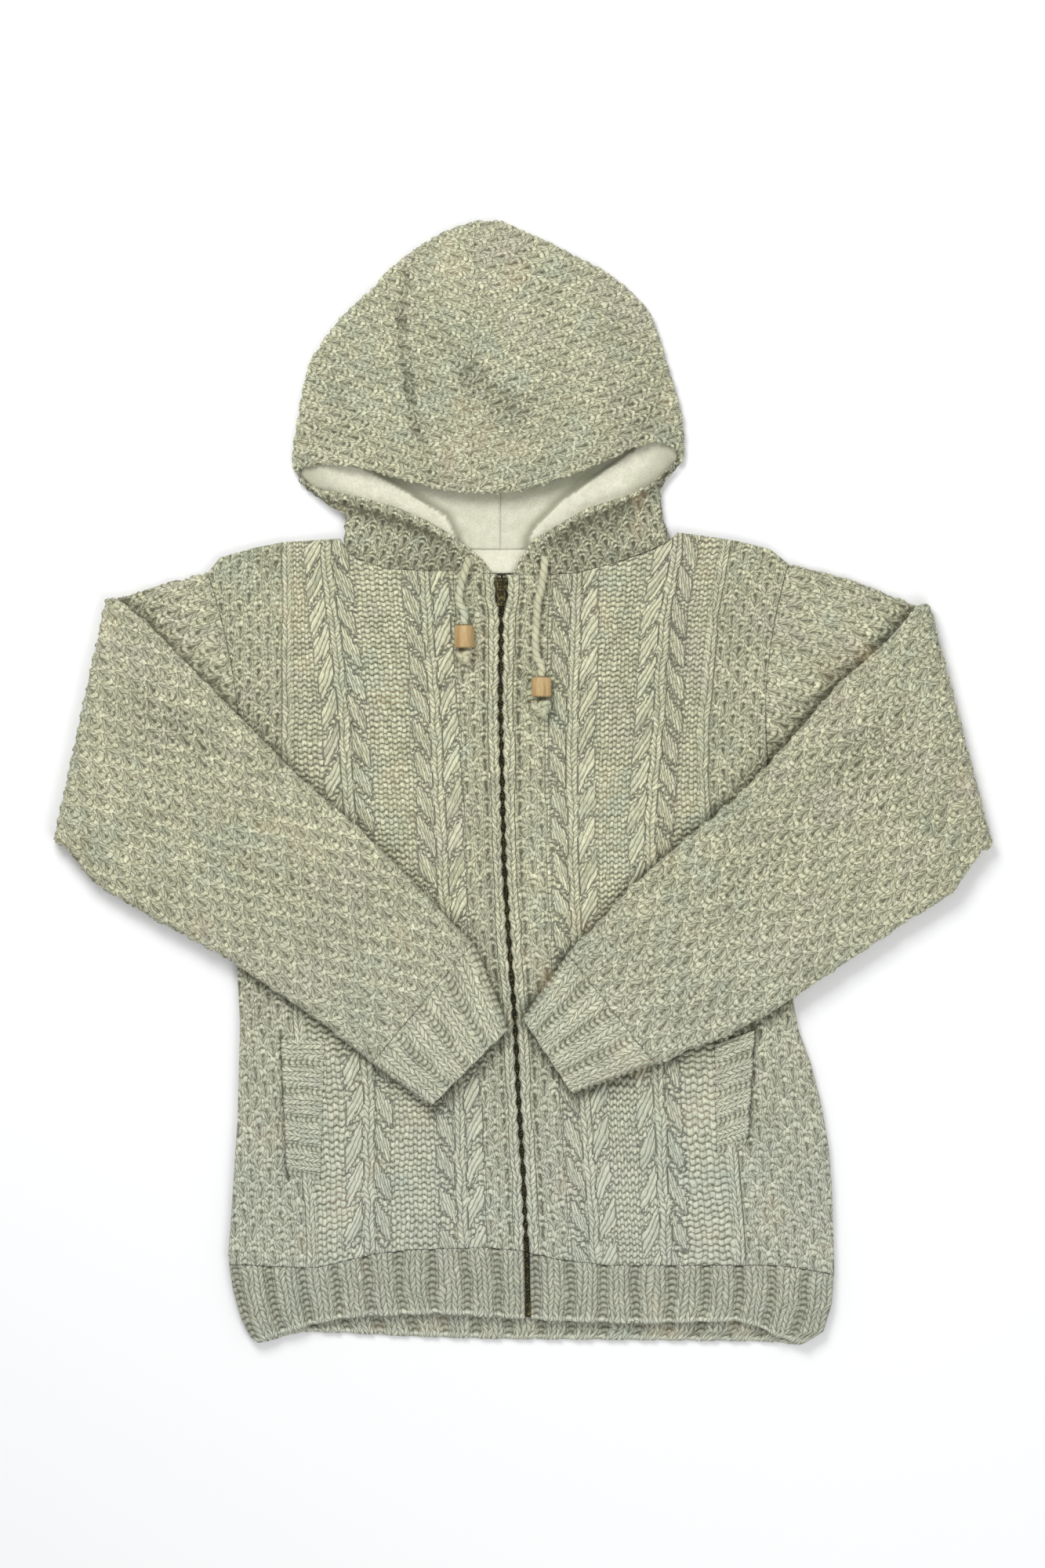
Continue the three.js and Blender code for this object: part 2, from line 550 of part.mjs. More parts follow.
// A closed pouch through sections at rising y: from z low(y) at the bottom to z high(x, y) on top.
function pouch(heights, limits, bottom, top) {
  const count = 13;
  const loops = heights.map((y) => {
    const { low, high } = limits(y);
    const radius = (top(low + 1, y) - bottom) / 2;
    const over = range(count).map((i) => {
      const x = low + radius + (i / (count - 1)) * (high - low - 2 * radius);
      return new THREE.Vector3(x, y, top(x, y));
    });
    const under = [high - radius, (low + high) / 2, low + radius].map((x) => new THREE.Vector3(x, y, bottom));
    const side = (x, sign) =>
      ARC.map((angle) => {
        const out = sign * radius * (Math.cos(angle) - 1);
        return new THREE.Vector3(x + out, y, bottom + radius + radius * Math.sin(angle));
      });
    return [...over, ...side(high, 1).reverse(), ...under, ...side(low, -1)];
  });
  const { points, faces } = joinLoops(loops);
  const cap = (loop, offset) => {
    const flat = loop.map((p) => new THREE.Vector2(p.x, p.z));
    return THREE.ShapeUtils.triangulateShape(flat, []).map((face) => face.map((k) => k + offset));
  };
  const start = cap(loops[0], 0);
  const end = cap(loops[loops.length - 1], points.length - loops[0].length);
  const runsAlong = ([p, q, r], a, b) => (p === a && q === b) || (q === a && r === b) || (r === a && p === b);
  const sameWay = ([a, b]) => faces.some((face) => runsAlong(face, a, b));
  const matched = (cells) => {
    const turned = cells.some((cell) => sameWay(cell));
    return turned ? cells.map(([a, b, c]) => [a, c, b]) : cells;
  };
  return closed(points, [...faces, ...matched(start), ...matched(end)]);
}

// A solid of an outline between two heights, for cutting.
function prism(outline, low, high) {
  const shape = new THREE.Shape(outline.map(([x, y]) => new THREE.Vector2(x, y)));
  return new THREE.ExtrudeGeometry(shape, { depth: high - low, bevelEnabled: false }).translate(0, 0, low);
}

function solid(geometry) {
  const bare = geometry.clone();
  bare.deleteAttribute('normal');
  bare.deleteAttribute('uv');
  const merged = mergeVertices(bare, 1e-4);
  return new wasm.Manifold(
    new wasm.Mesh({
      numProp: 3,
      vertProperties: merged.attributes.position.array,
      triVerts: new Uint32Array(merged.index.array),
    }),
  );
}

function geometryOf(body) {
  const { numProp, vertProperties, triVerts } = body.getMesh();
  const points = range(vertProperties.length / numProp).map((i) =>
    new THREE.Vector3(...vertProperties.subarray(i * numProp, i * numProp + 3)),
  );
  const geometry = new THREE.BufferGeometry().setFromPoints(points);
  geometry.setIndex([...triVerts]);
  geometry.computeVertexNormals();
  return geometry;
}

// Where the hood ends at the top, and the height of its upper face there.
const HOOD_PEAK = 467;
const HOOD_PEAK_HEIGHT = 6;

function hoodHalves() {
  const shellRows = HOOD.map(({ y }) => y);
  const shellTop = (x, y) => (y > HOOD_PEAK - 1 ? HOOD_PEAK_HEIGHT : hoodTop(x, y));
  const shell = solid(pouch([...shellRows, HOOD_PEAK], (y) => hoodEdge(y), 0, shellTop));
  const hollowRows = [150, ...shellRows.filter((y) => y > 155 && y < 459)];
  const hollowEdge = (y) => {
    const { low, high } = hoodEdge(y + WALL);
    return { low: Math.max(low, hoodEdge(y).low) + WALL, high: Math.min(high, hoodEdge(y).high) - WALL };
  };
  const hollow = solid(pouch(hollowRows, hollowEdge, WALL, (x, y) => hoodTop(x, y) - WALL));
  const mouthLine = [...COLLAR_EDGE, ...[...CROWN_EDGE].reverse()];
  const mouth = prism(mouthLine.map(({ x, y }) => [x, y]), WALL + 0.1, 60);
  const neckLine = SHOULDERS.filter(({ x }) => x > -170 && x < 150).map(({ x, y }) => [x, y + GAP]);
  const below = prism([...neckLine, [150, 90], [-170, 90]], -5, 60);
  const seamSide = (half) => HOOD_SEAM.map(({ x, y }) => [x + half, y]);
  const seam = prism([...seamSide(GAP / 2), ...seamSide(-GAP / 2).reverse()], -5, 60);
  const whole = shell.subtract(hollow).subtract(solid(mouth)).subtract(solid(below)).subtract(solid(seam));
  const halves = whole.decompose().filter((body) => body.volume() > 100);
  const middleX = (body) => (body.boundingBox().min[0] + body.boundingBox().max[0]) / 2;
  return halves.sort((a, b) => middleX(a) - middleX(b)).map(geometryOf);
}

function lining(half) {
  const heights = [194, 203, 215, 229, 240, 248, 260, 275, 300];
  const edge = (y) => {
    const { low, high } = hoodEdge(y);
    const next = hoodEdge(y - 6);
    const clear = WALL + 2.6;
    const [neckLow, neckHigh] = y < 216 ? [-126, 90] : [low, high];
    return half.sign < 0
      ? Math.max(low + clear, next.low + clear, neckLow)
      : Math.min(high - clear, next.high - clear, neckHigh);
  };
  const seamX = -19 + half.sign * GAP * 0.6;
  const outline = [
    [seamX, heights[0]], ...heights.map((y) => [edge(y), y]), [seamX, heights[heights.length - 1]],
  ];
  return slab(outline, WALL + GAP, WALL + GAP + LINING_WALL, 0.4);
}

// ---- zip ----
const zipHeights = (from, to, count) => range(count).map((i) => from + ((to - from) * i) / (count - 1));
function zipStrip(from, to, left, right, low, high, round) {
  const heights = zipHeights(from, to, to - from > 100 ? 11 : 3);
  const line = (offset) => heights.map((y) => [read(ZIP, 'y', y, 'x') + offset, y]);
  return slab([...line(right), ...line(left).reverse()], low, high, round);
}

const box = (width, length, height, x, y, z) =>
  new THREE.BoxGeometry(width, length, height).translate(x, y, z);
const joined = (parts) => geometryOf(parts.map(solid).reduce((all, part) => all.add(part)));

function slider() {
  const { x, y, width, length, low, high } = SLIDER;
  const archTop = PIVOT.z + 2.4;
  const post = (at) => box(1.6, 1.4, archTop - high + 0.4, x, at, (archTop + high - 0.4) / 2);
  return joined([
    box(width, length, high - low, x, y, (high + low) / 2),
    post(PIVOT.y + 3),
    post(PIVOT.y - 3),
    box(1.6, 7.4, 1.3, x, PIVOT.y, archTop - 0.65),
  ]);
}

function pullTab() {
  const { width, length, thick } = PULL;
  const armLength = 6;
  const armY = PIVOT.y - armLength / 2 + 0.6;
  const arm = (sign) => box(1.5, armLength, thick, SLIDER.x + sign * 2.75, armY, PIVOT.z);
  const plate = length - armLength;
  return joined([
    arm(-1),
    arm(1),
    box(width, thick, thick, SLIDER.x, PIVOT.y, PIVOT.z),
    box(width, plate, thick, SLIDER.x, PIVOT.y - armLength + 0.9 - plate / 2, PIVOT.z),
  ]);
}

// ---- drawstring ends ----
function cord(half) {
  const path = new THREE.CatmullRomCurve3(half.cord.map(({ x, y, z }) => new THREE.Vector3(x, y, z)));
  const middle = new THREE.Vector2();
  const rim = new THREE.Vector2(CORD_DIAMETER / 2, 0);
  const section = new THREE.Shape(
    range(10).map((i) => rim.clone().rotateAround(middle, (i * Math.PI) / 5)),
  );
  const steps = Math.ceil(path.getLength() / (1.6 * CORD_DIAMETER)) + 1;
  return new THREE.ExtrudeGeometry(section, { extrudePath: path, steps, bevelEnabled: false });
}

function toggle(half, length) {
  const end = half.cord[half.cord.length - 1];
  const radius = TOGGLE_DIAMETER / 2;
  const start = [[0, 0], [radius - 1, 0], [radius, 1]];
  const profile = [...start, ...start.map(([r, y]) => [r, length - y]).reverse()];
  const body = new THREE.LatheGeometry(profile.map(([r, y]) => new THREE.Vector2(r, y)), 16);
  return body.rotateX(Math.PI).translate(end.x, end.y - GAP, end.z);
}

function knot(half, toggleLength, width, length) {
  const end = half.cord[half.cord.length - 1];
  const thick = 13;
  const body = new THREE.SphereGeometry(0.5, 12, 7).scale(width, length, thick);
  return body.translate(end.x, end.y - 2 * GAP - toggleLength - length / 2, end.z - 2);
}

// ---- the garment ----
const sweater = new THREE.Group();
function add(name, geometry, color, metalness = 0) {
  const material = new THREE.MeshStandardMaterial({ color, roughness: metalness ? 0.45 : 0.95, metalness });
  const mesh = new THREE.Mesh(geometry, material);
  mesh.name = name;
  sweater.add(mesh);
}

const [hoodRight, hoodLeft] = hoodHalves();
add('back', back(), WOOL);
add('back_hem', backHem(), WOOL);
for (const [half, name] of [[RIGHT, 'right'], [LEFT, 'left']]) {
  add(`front_${name}`, wallFromGrid(half.grid, FRONT_BASE), WOOL);
  add(`hem_${name}`, frontHem(half), WOOL);
  add(`pocket_welt_${name}`, pocketWelt(half), WOOL);
  add(`sleeve_${name}`, sleeve(half), WOOL);
  add(`cuff_${name}`, cuff(half), WOOL);
  add(`lining_${name}`, lining(half), FLEECE);
  add(`cord_${name}`, cord(half), FLEECE);
}
add('hood_right', hoodRight, WOOL);
add('hood_left', hoodLeft, WOOL);
const NECK_TAPE = [[-110, 174], [70, 174], [70, 193.5], [-110, 193.5]];
add('neck_tape', slab(NECK_TAPE, WALL + GAP, WALL + 1.2, 0.3), FLEECE);
add('zip_tape_right', zipStrip(-443, 172, -TAPE_HALF, -CHAIN_HALF - GAP, WALL + GAP, TAPE_TOP, 0.2), BRASS);
add('zip_tape_left', zipStrip(-443, 172, CHAIN_HALF + GAP, TAPE_HALF, WALL + GAP, TAPE_TOP, 0.2), BRASS);
add('zip_chain', zipStrip(-430, 171, -CHAIN_HALF, CHAIN_HALF, WALL + GAP, CHAIN_TOP, 0.6), BRASS, 1);
const BOX_HALF = CHAIN_HALF + 0.1;
add('zip_box', zipStrip(-443, -430.4, -BOX_HALF, BOX_HALF, WALL + GAP, CHAIN_TOP + 1, 0.4), BRASS, 1);
add('zip_slider', slider(), BRASS, 1);
add('zip_pull', pullTab(), BRASS, 1);
add('toggle_right', toggle(RIGHT, 19), WOOD);
add('toggle_left', toggle(LEFT, 16.5), WOOD);
add('knot_right', knot(RIGHT, 19, 15, 13), FLEECE);
add('knot_left', knot(LEFT, 16.5, 19, 17), FLEECE);

export default sweater;
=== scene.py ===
import sys
import logging
import math
from dataclasses import dataclass, field
from enum import Enum
from typing import Callable, Optional, Sequence, Union

import bmesh
import bpy
import numpy as np
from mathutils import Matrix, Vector


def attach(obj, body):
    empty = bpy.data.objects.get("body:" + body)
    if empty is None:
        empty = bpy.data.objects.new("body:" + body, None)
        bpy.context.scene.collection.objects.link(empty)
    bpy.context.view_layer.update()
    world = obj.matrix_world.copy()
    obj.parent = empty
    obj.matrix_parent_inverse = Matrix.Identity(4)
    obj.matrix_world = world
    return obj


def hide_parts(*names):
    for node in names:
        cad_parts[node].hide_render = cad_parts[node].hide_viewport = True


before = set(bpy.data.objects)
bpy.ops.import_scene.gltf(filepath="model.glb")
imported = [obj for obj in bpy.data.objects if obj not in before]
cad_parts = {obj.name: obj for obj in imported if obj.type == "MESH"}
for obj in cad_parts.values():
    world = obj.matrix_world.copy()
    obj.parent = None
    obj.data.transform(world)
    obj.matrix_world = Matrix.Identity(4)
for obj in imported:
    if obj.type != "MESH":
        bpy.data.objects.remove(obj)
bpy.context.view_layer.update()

LOG = logging.getLogger("cardigan")
MM = 0.001
Array = np.ndarray
Thing = bpy.types.Object
Material = bpy.types.Material
Colour = tuple[float, float, float]

# ---- sizes shared by the pieces, in millimetres, as in the part's source ----
WALL = 4.0
GAP = 0.3
FRONT_BASE = 5.6
TUBE = 9.6
FOLD_GAP = 0.7
SEAM_GAP = 0.06
HEM_GAP = 0.06
RIM = 2.0
STEM_RISE = 1.6
BRANCH_RISE = 1.8
RIB_RISE = 1.2
BRANCH_DROP = 1.4 * 17
BRANCH_TOP_PITCH = 26.0
BRANCH_HEM_PITCH = 33.0
WELT_RIB_PITCH = 22.0
FRONT_TOP = 185.0
FRONT_LOW = -386.0
STITCH = 7.8
ROW = 5.4
HOOD_STITCH = 7.1
HOOD_ROW = 4.7
COLLAR_ROW = 3.9
LOOP_HEIGHT = 1.5
MOSS_DIP = 0.9
PURL, KNIT, BRAID, MOSS = 0.0, 1.0, 1.4, 2.0
RIB_ROW = 5.2
NECK_FIRST, NECK_LAST = -150, 122
FAR = 99.0
ROUNDS = 8
UNDER_INSET = 1.3

SIDE_RIGHT = np.array([
    (-470, -216), (-465, -220), (-460, -226), (-444, -234), (-419, -241), (-391, -245), (-369, -243),
    (-323, -240), (-278, -237), (-198, -235), (-163, -237), (-29, -237)], float)
SIDE_LEFT = np.array([
    (-470, 222), (-465, 233), (-455, 249), (-432, 256), (-403, 258), (-369, 257), (-334, 256),
    (-300, 253), (-266, 247), (-231, 238), (-204, 228), (-181, 224), (-130, 220), (-59, 216)], float)
ZIP_LINE = np.array([
    (-446, 4), (-391, 3), (-326, 0), (-261, -4), (-196, -7), (-131, -12), (-66, -16), (64, -19),
    (180, -18)], float)
# Height, then the single rib and the stems of the outer and the inner tree.
COLUMNS_RIGHT = np.array([
    (-386, -176, -128, -49), (-261, -182, -128, -54), (-55, -196, -141, -68), (65, -196, -150, -74),
    (185, -196, -163, -83)], float)
COLUMNS_LEFT = np.array([
    (-391, 180, 119, 60), (-261, 170, 112, 50), (-43, 152, 105, 41), (41, 149, 111, 41),
    (137, 158, 117, 43), (198, 169, 128, 46)], float)
TOP_EDGE = np.array([
    (-262, 174), (-252, 187), (-225, 195), (-199, 200), (-152, 203), (-146, 193), (-138, 186),
    (-115, 178), (-84, 176), (-43, 176), (-18, 173), (12, 173), (44, 174), (78, 183), (102, 192),
    (120, 200), (128, 208), (151, 205), (178, 201), (205, 194), (220, 182)], float)
RIB_TOP = np.array([
    (-245, -399), (-208, -401), (-172, -402), (-150, -397), (-126, -391), (-92, -387), (-33, -385),
    (-1, -388), (28, -395), (73, -400), (119, -400), (210, -400), (233, -403), (258, -408)], float)
FRONT_HEM = np.array([
    (-220, -464), (-198, -456), (-176, -449), (-152, -444), (-131, -442), (-69, -440), (-24, -443),
    (2, -444), (28, -446), (96, -448), (176, -446), (194, -450), (210, -459), (232, -465)], float)
BACK_HEM = np.array([
    (-220, -465), (-206, -461), (-184, -455), (-149, -456), (-92, -459), (-24, -461), (96, -462),
    (199, -463), (232, -466)], float)
# Height, then the silhouette's limits at that height.
HOOD = np.array([
    (160, -150, 122), (203, -150, 122), (215, -147, 117), (231, -147, 114), (238, -172, 114),
    (244, -180, 114), (255, -189, 121), (268, -193, 133), (284, -191, 134), (305, -187, 132),
    (324, -184, 127), (348, -178, 119), (369, -166, 113), (390, -148, 105), (411, -125, 86),
    (430, -109, 60), (446, -87, 28), (458, -66, -2), (466, -42, -16)], float)
CROWN_EDGE = np.array([
    (-187, 261), (-164, 264), (-132, 260), (-103, 252), (-66, 242), (-40, 240), (-13, 240),
    (13, 246), (40, 255), (67, 266), (93, 278), (111, 283), (122, 280), (129, 273)], float)
COLLAR_RIGHT = np.array([
    (-186, 255), (-173, 245), (-138, 238), (-106, 229), (-80, 218), (-53, 202), (-34, 186),
    (-27, 176.5)], float)
COLLAR_LEFT = np.array([
    (-8, 176.5), (8, 202), (30, 215), (53, 228), (87, 239), (111, 251), (127, 268)], float)
# The folded run of each sleeve: both ends of each cross-section, and its underside.
FOLDED_RIGHT = np.array([
    (-312, 133, -356, -82, 10.4), (-271, 91, -322, -103, 11.0), (-229, 49, -285, -124, 11.8),
    (-188, 7, -250, -142, 12.2), (-139, -35, -206, -172, 12.2), (-91, -82, -165, -200, 12.2),
    (-58, -117, -138, -222, 12.2), (-42, -133, -125, -231, 12.2)], float)
FOLDED_LEFT = np.array([
    (302, 118, 355, -92, 10.4), (259, 80, 320, -113, 11.0), (219, 33, 285, -137, 11.8),
    (177, -11, 250, -160, 12.2), (132, -49, 210, -187, 12.2), (89, -86, 170, -209, 12.2),
    (58, -120, 135, -222, 12.2), (36, -141, 110, -234, 12.2)], float)


class Side(Enum):
    """The wearer's right half lies at -X, the left half at +X."""

    RIGHT = -1
    LEFT = 1

    @property
    def word(self) -> str:
        """The word that ends this half's node names."""
        return self.name.lower()

    @property
    def sign(self) -> int:
        """-1 on the right half and 1 on the left."""
        return self.value


@dataclass(frozen=True)
class HalfCut:
    """The flat shape of one half of the garment.

    Attributes:
        side_seam: Height and x of the side.
        columns: Height, rib, outer stem and inner stem.
        armhole: Top x, top y, low x, low y and sideways bow.
        fold: Ends of the sleeve's fold line, upper x, upper y, lower x, lower y.
        middle: The same between armhole and fold.
        grain: Direction in which the knitting of the folded run goes.
        folded: Cross-sections of the folded run.
        cuff_end: Ends of the cuff's mouth.
        welt: Corners of the pocket welt: top outer, top inner, low outer, low inner.
        cord: Route of the drawstring's free end.
        toggle: Length of the wooden bead.
        knot: Width and length of the knot below it.
    """

    side_seam: Array
    columns: Array
    armhole: tuple[float, float, float, float, float]
    fold: tuple[float, float, float, float]
    middle: tuple[float, float, float, float]
    grain: tuple[float, float]
    folded: Array
    cuff_end: tuple[float, float, float, float]
    welt: Array
    cord: Array
    toggle: float
    knot: tuple[float, float]


CUTS = {
    Side.RIGHT: HalfCut(
        SIDE_RIGHT, COLUMNS_RIGHT, (-262, 174, -237, -29, 11), (-336, 152, -380, -52),
        (-300, 165, -308, -41), (0.66, -0.751), FOLDED_RIGHT, (-13, -204, -76, -267),
        np.array([(-201, -212), (-164, -213), (-196, -326), (-168, -331)], float),
        np.array([(-45, 187, 16.6), (-48, 176, 17.6), (-52, 163, 17.6), (-53, 151, 18.2),
                  (-49, 141, 20.1), (-49, 131.3, 20.1)], float), 19.0, (15.0, 13.0)),
    Side.LEFT: HalfCut(
        SIDE_LEFT, COLUMNS_LEFT, (220, 182, 216, -59, -17), (327, 147, 380, -56),
        (274, 168, 298, -58), (-0.71, -0.704), FOLDED_LEFT, (-1, -194, 41, -258),
        np.array([(192, -204), (158, -216), (186, -299), (160, -309)], float),
        np.array([(18, 188, 16.6), (17, 176, 17.4), (15, 162, 16.2), (12, 150, 15.6),
                  (11, 135, 15.6), (10, 118, 15.8), (11, 105, 17.6), (15, 97, 20.1),
                  (15, 88.3, 20.1)], float), 16.5, (19.0, 17.0)),
}


# ---- small tools ----
def smooth(t: Array) -> Array:
    """A smooth step from 0 to 1."""
    t = np.clip(t, 0.0, 1.0)
    return t * t * (3 - 2 * t)


def read(table: Array, at: Array, column: int = 1) -> Array:
    """The value of a table's column where its first column has the value at."""
    return np.interp(at, table[:, 0], table[:, column])


def resample(line: Array, shares: Array) -> Array:
    """Points at shares of a line's length.

    Args:
        line: Points of an open line, one a row.
        shares: Shares of its length, from 0 to 1.

    Returns:
        One point for each share.
    """
    steps = np.linalg.norm(np.diff(line, axis=0), axis=1)
    at = np.concatenate([[0.0], np.cumsum(steps)])
    return np.stack([np.interp(shares * at[-1], at, line[:, k]) for k in range(line.shape[1])], -1)


def scatter(i: Array, j: Array, salt: int) -> Array:
    """A fixed random number from 0 to 1 for each pair of whole numbers."""
    h = (i.astype(np.int64) * 73856093) ^ (j.astype(np.int64) * 19349663) ^ (salt * 83492791)
    h = (h ^ (h >> 13)) * 1274126177
    return ((h ^ (h >> 16)) & 0xFFFF) / 65535.0


def rounding(off: Array, radius: float = RIM, depth: float = RIM) -> Array:
    """How far a face drops at a distance from its edge.

    Args:
        off: The distance.
        radius: Distance at which the drop ends.
        depth: The drop at the edge itself.

    Returns:
        The drop.
    """
    return depth * (1 - np.sqrt(1 - (1 - np.clip(off / radius, 0, 1)) ** 2))


def grid_shares(rows: int, columns: int) -> tuple[Array, Array]:
    """Shares of the way up and across, at each point of a grid."""
    up, across = np.meshgrid(np.linspace(0, 1, rows), np.linspace(0, 1, columns), indexing="ij")
    return up, across


def drift(x: Array, y: Array, scale: float, salt: int) -> Array:
    """Smooth noise over a plane.

    Args:
        x: Places across.
        y: Places up.
        scale: Size of its features, in millimetres.
        salt: Tells one noise from another.

    Returns:
        Values from -1 to 1.
    """
    u, v = x / scale, y / scale
    i, j = np.floor(u), np.floor(v)
    a, b = smooth(u - i), smooth(v - j)
    low = scatter(i, j, salt) * (1 - a) + scatter(i + 1, j, salt) * a
    high = scatter(i, j + 1, salt) * (1 - a) + scatter(i + 1, j + 1, salt) * a
    return 2 * (low * (1 - b) + high * b) - 1


def beside(x: Array, y: Array, stretch: Sequence[float]) -> tuple[Array, Array]:
    """Where places lie beside a straight stretch.

    Args:
        x: Places across.
        y: Places up.
        stretch: Its start x and y, and its end x and y.

    Returns:
        Share of the way along it, which runs on past both ends, and the distance from it.
    """
    x0, y0, x1, y1 = stretch
    dx, dy = x1 - x0, y1 - y0
    t = ((x - x0) * dx + (y - y0) * dy) / (dx * dx + dy * dy)
    held = np.clip(t, 0, 1)
    return t, np.hypot(x - x0 - held * dx, y - y0 - held * dy)


def soft_folds(x: Array, y: Array, rows: Sequence[tuple[float, ...]]) -> Array:
    """Heights of listed folds.

    Args:
        x: Places across, in millimetres.
        y: Places up, in millimetres.
        rows: Start x and y, end x and y, half width and height of each fold.

    Returns:
        The height that the folds add.
    """
    total = np.zeros_like(x)
    for *stretch, width, height in rows:
        t, off = beside(x, y, stretch)
        total += height * np.exp(-((off / width) ** 2)) * smooth(np.minimum(t, 1 - t) * 4 + 0.5)
    return total


def line_distance(x: Array, y: Array, line: Array) -> Array:
    """Distance of places from an open line.

    Args:
        x: Places across.
        y: Places up.
        line: The line's points.

    Returns:
        The distance to the nearest of its stretches.
    """
    return np.min([beside(x, y, (*a, *b))[1] for a, b in zip(line, line[1:])], axis=0)


def tucked(side: "Side", x: Array, y: Array, reach: float = 8.0) -> Array:
    """How near the cloth lies to the edge of the folded sleeve on it.

    Args:
        side: Which half.
        x: Places across.
        y: Places up.
        reach: How soon it fades.

    Returns:
        1 at the sleeve's edge, falling to 0 away from it.
    """
    cut = CUTS[side]
    end = np.array(cut.cuff_end, float).reshape(2, 2)
    line = np.vstack([[cut.fold[:2]], cut.folded[:, :2], end, cut.folded[::-1, 2:4]])
    return np.exp(-line_distance(x, y, line) / reach)


# ---- knitting ----
@dataclass
class Relief:
    """What knitting adds to a face.

    Attributes:
        height: Height in millimetres.
        gap: Painted shade, from 0 to 1: low between loops, in creases, and beside edges that lie over the
            cloth.
        style: The stitch: PURL, KNIT, BRAID or MOSS.
        u: Stitches across.
        v: Rows up.
    """

    height: Array
    gap: Array
    style: Array
    u: Array
    v: Array

    def layers(self) -> tuple[Array, ...]:
        """All that it holds, in order."""
        return self.height, self.gap, self.style, self.u, self.v

    def over(self, other: "Relief") -> "Relief":
        """This relief where it stands higher than the other, and the other elsewhere."""
        mine = self.height > other.height
        return Relief(*(np.where(mine, a, b) for a, b in zip(self.layers(), other.layers())))

    def turned(self) -> "Relief":
        """The same with its columns in reverse."""
        return Relief(*(layer[:, ::-1] for layer in self.layers()))


def leg_height(x: Array, y: Array, width: float, height: float) -> Array:
    """Height of one knit stitch, a V of two legs of yarn.

    Args:
        x: Places across from its middle.
        y: Places up from its middle.
        width: Its width.
        height: Its height.

    Returns:
        The height of the yarn.
    """
    leg = (0.06 * width, -0.6 * height, 0.44 * width, 0.5 * height)
    t, off = beside(np.abs(x), y, leg)
    off = off / (0.23 * width)
    return LOOP_HEIGHT * (1 - off * off) - 0.5 * (1 - np.clip(t, 0, 1))


def arch_height(x: Array, y: Array, width: float, height: float) -> Array:
    """Height of one purl stitch: an arch of yarn over two halves of the arches between stitches.

    Args:
        x: Places across from its middle.
        y: Places up from its middle.
        width: Its width.
        height: Its height.

    Returns:
        The height of the yarn.
    """
    radius = 0.33 * height
    x = x / (width / STITCH)
    arch = 0.2 * height - 0.15 * x * x
    off = np.hypot((y - arch) / np.sqrt(1 + (0.3 * x) ** 2), np.maximum(np.abs(x) - 3.1, 0)) / radius
    top = LOOP_HEIGHT * (1 - off * off) - 0.3 * (x / 3.2) ** 2
    z = np.abs(x) - STITCH / 2
    sag = -0.3 * height + 0.15 * z * z
    off = np.hypot((y - sag) / np.sqrt(1 + (0.3 * z) ** 2), np.maximum(np.abs(z) - 2.4, 0)) / radius
    return np.maximum(top, LOOP_HEIGHT * (1 - off * off) - 0.45)


def knitted(
    u: Array, v: Array, is_knit: Callable[[Array, Array], Array], width: float = STITCH,
    height: float = ROW, seed: int = 1, style: Optional[float] = None,
) -> Relief:
    """Loops of yarn over a face.

    Args:
        u: Stitches across.
        v: Rows up.
        is_knit: Says for a stitch and a row whether the stitch is knit, and not purl.
        width: Width of a stitch.
        height: Height of a row.
        seed: Sets the small differences between loops.
        style: The stitch all over, or None to take it from is_knit.

    Returns:
        The relief of the highest loop at each place.
    """
    i0, j0 = np.floor(u), np.floor(v)
    best = np.full(u.shape, -9.0)
    for dj in (-1, 0, 1):
        for di in (-1, 0, 1):
            i, j = i0 + di, j0 + dj
            x = (u - i - 0.5) * width + 0.5 * (scatter(i, j, seed + 1) - 0.5)
            y = (v - j - 0.5) * height + 0.5 * (scatter(i, j, seed + 2) - 0.5)
            high = np.where(is_knit(i, j), leg_height(x, y, width, height), arch_height(x, y, width, height))
            best = np.maximum(best, high + 0.5 * (scatter(i, j, seed + 3) - 0.5))
    best = np.maximum(best, -0.5)
    # Painted shade where the yarn lies low between loops.
    gap = np.clip((LOOP_HEIGHT - 0.35 - best) / 1.5, 0, 1)
    own = is_knit(i0, j0).astype(float) if style is None else np.full(u.shape, style)
    best = best - np.where(own == MOSS, MOSS_DIP * moss_dip(u, v), 0.0)
    return Relief(best, gap, own, u, v)


def is_moss(i: Array, j: Array) -> Array:
    """Double moss: knit and purl change place every second row."""
    return np.mod(i + np.floor(j / 2), 2) == 0


def moss_dip(u: Array, v: Array) -> Array:
    """1 in the middle of double moss stitch's knit patches, which lie low, and -1 in the purl ones."""
    return np.sin(np.pi * u) * np.sin(np.pi * v / 2)


def is_rib(i: Array, j: Array) -> Array:
    """Two knit columns and one purl column."""
    return np.mod(i, 3) > 0.5


def rib_rise(across: Array) -> Array:
    """How far a rib has risen, from 0 to 1, where across counts ribs."""
    f = across - np.floor(across)
    return smooth((f - 0.22) / 0.18) * (1 - smooth((f - 0.92) / 0.08))


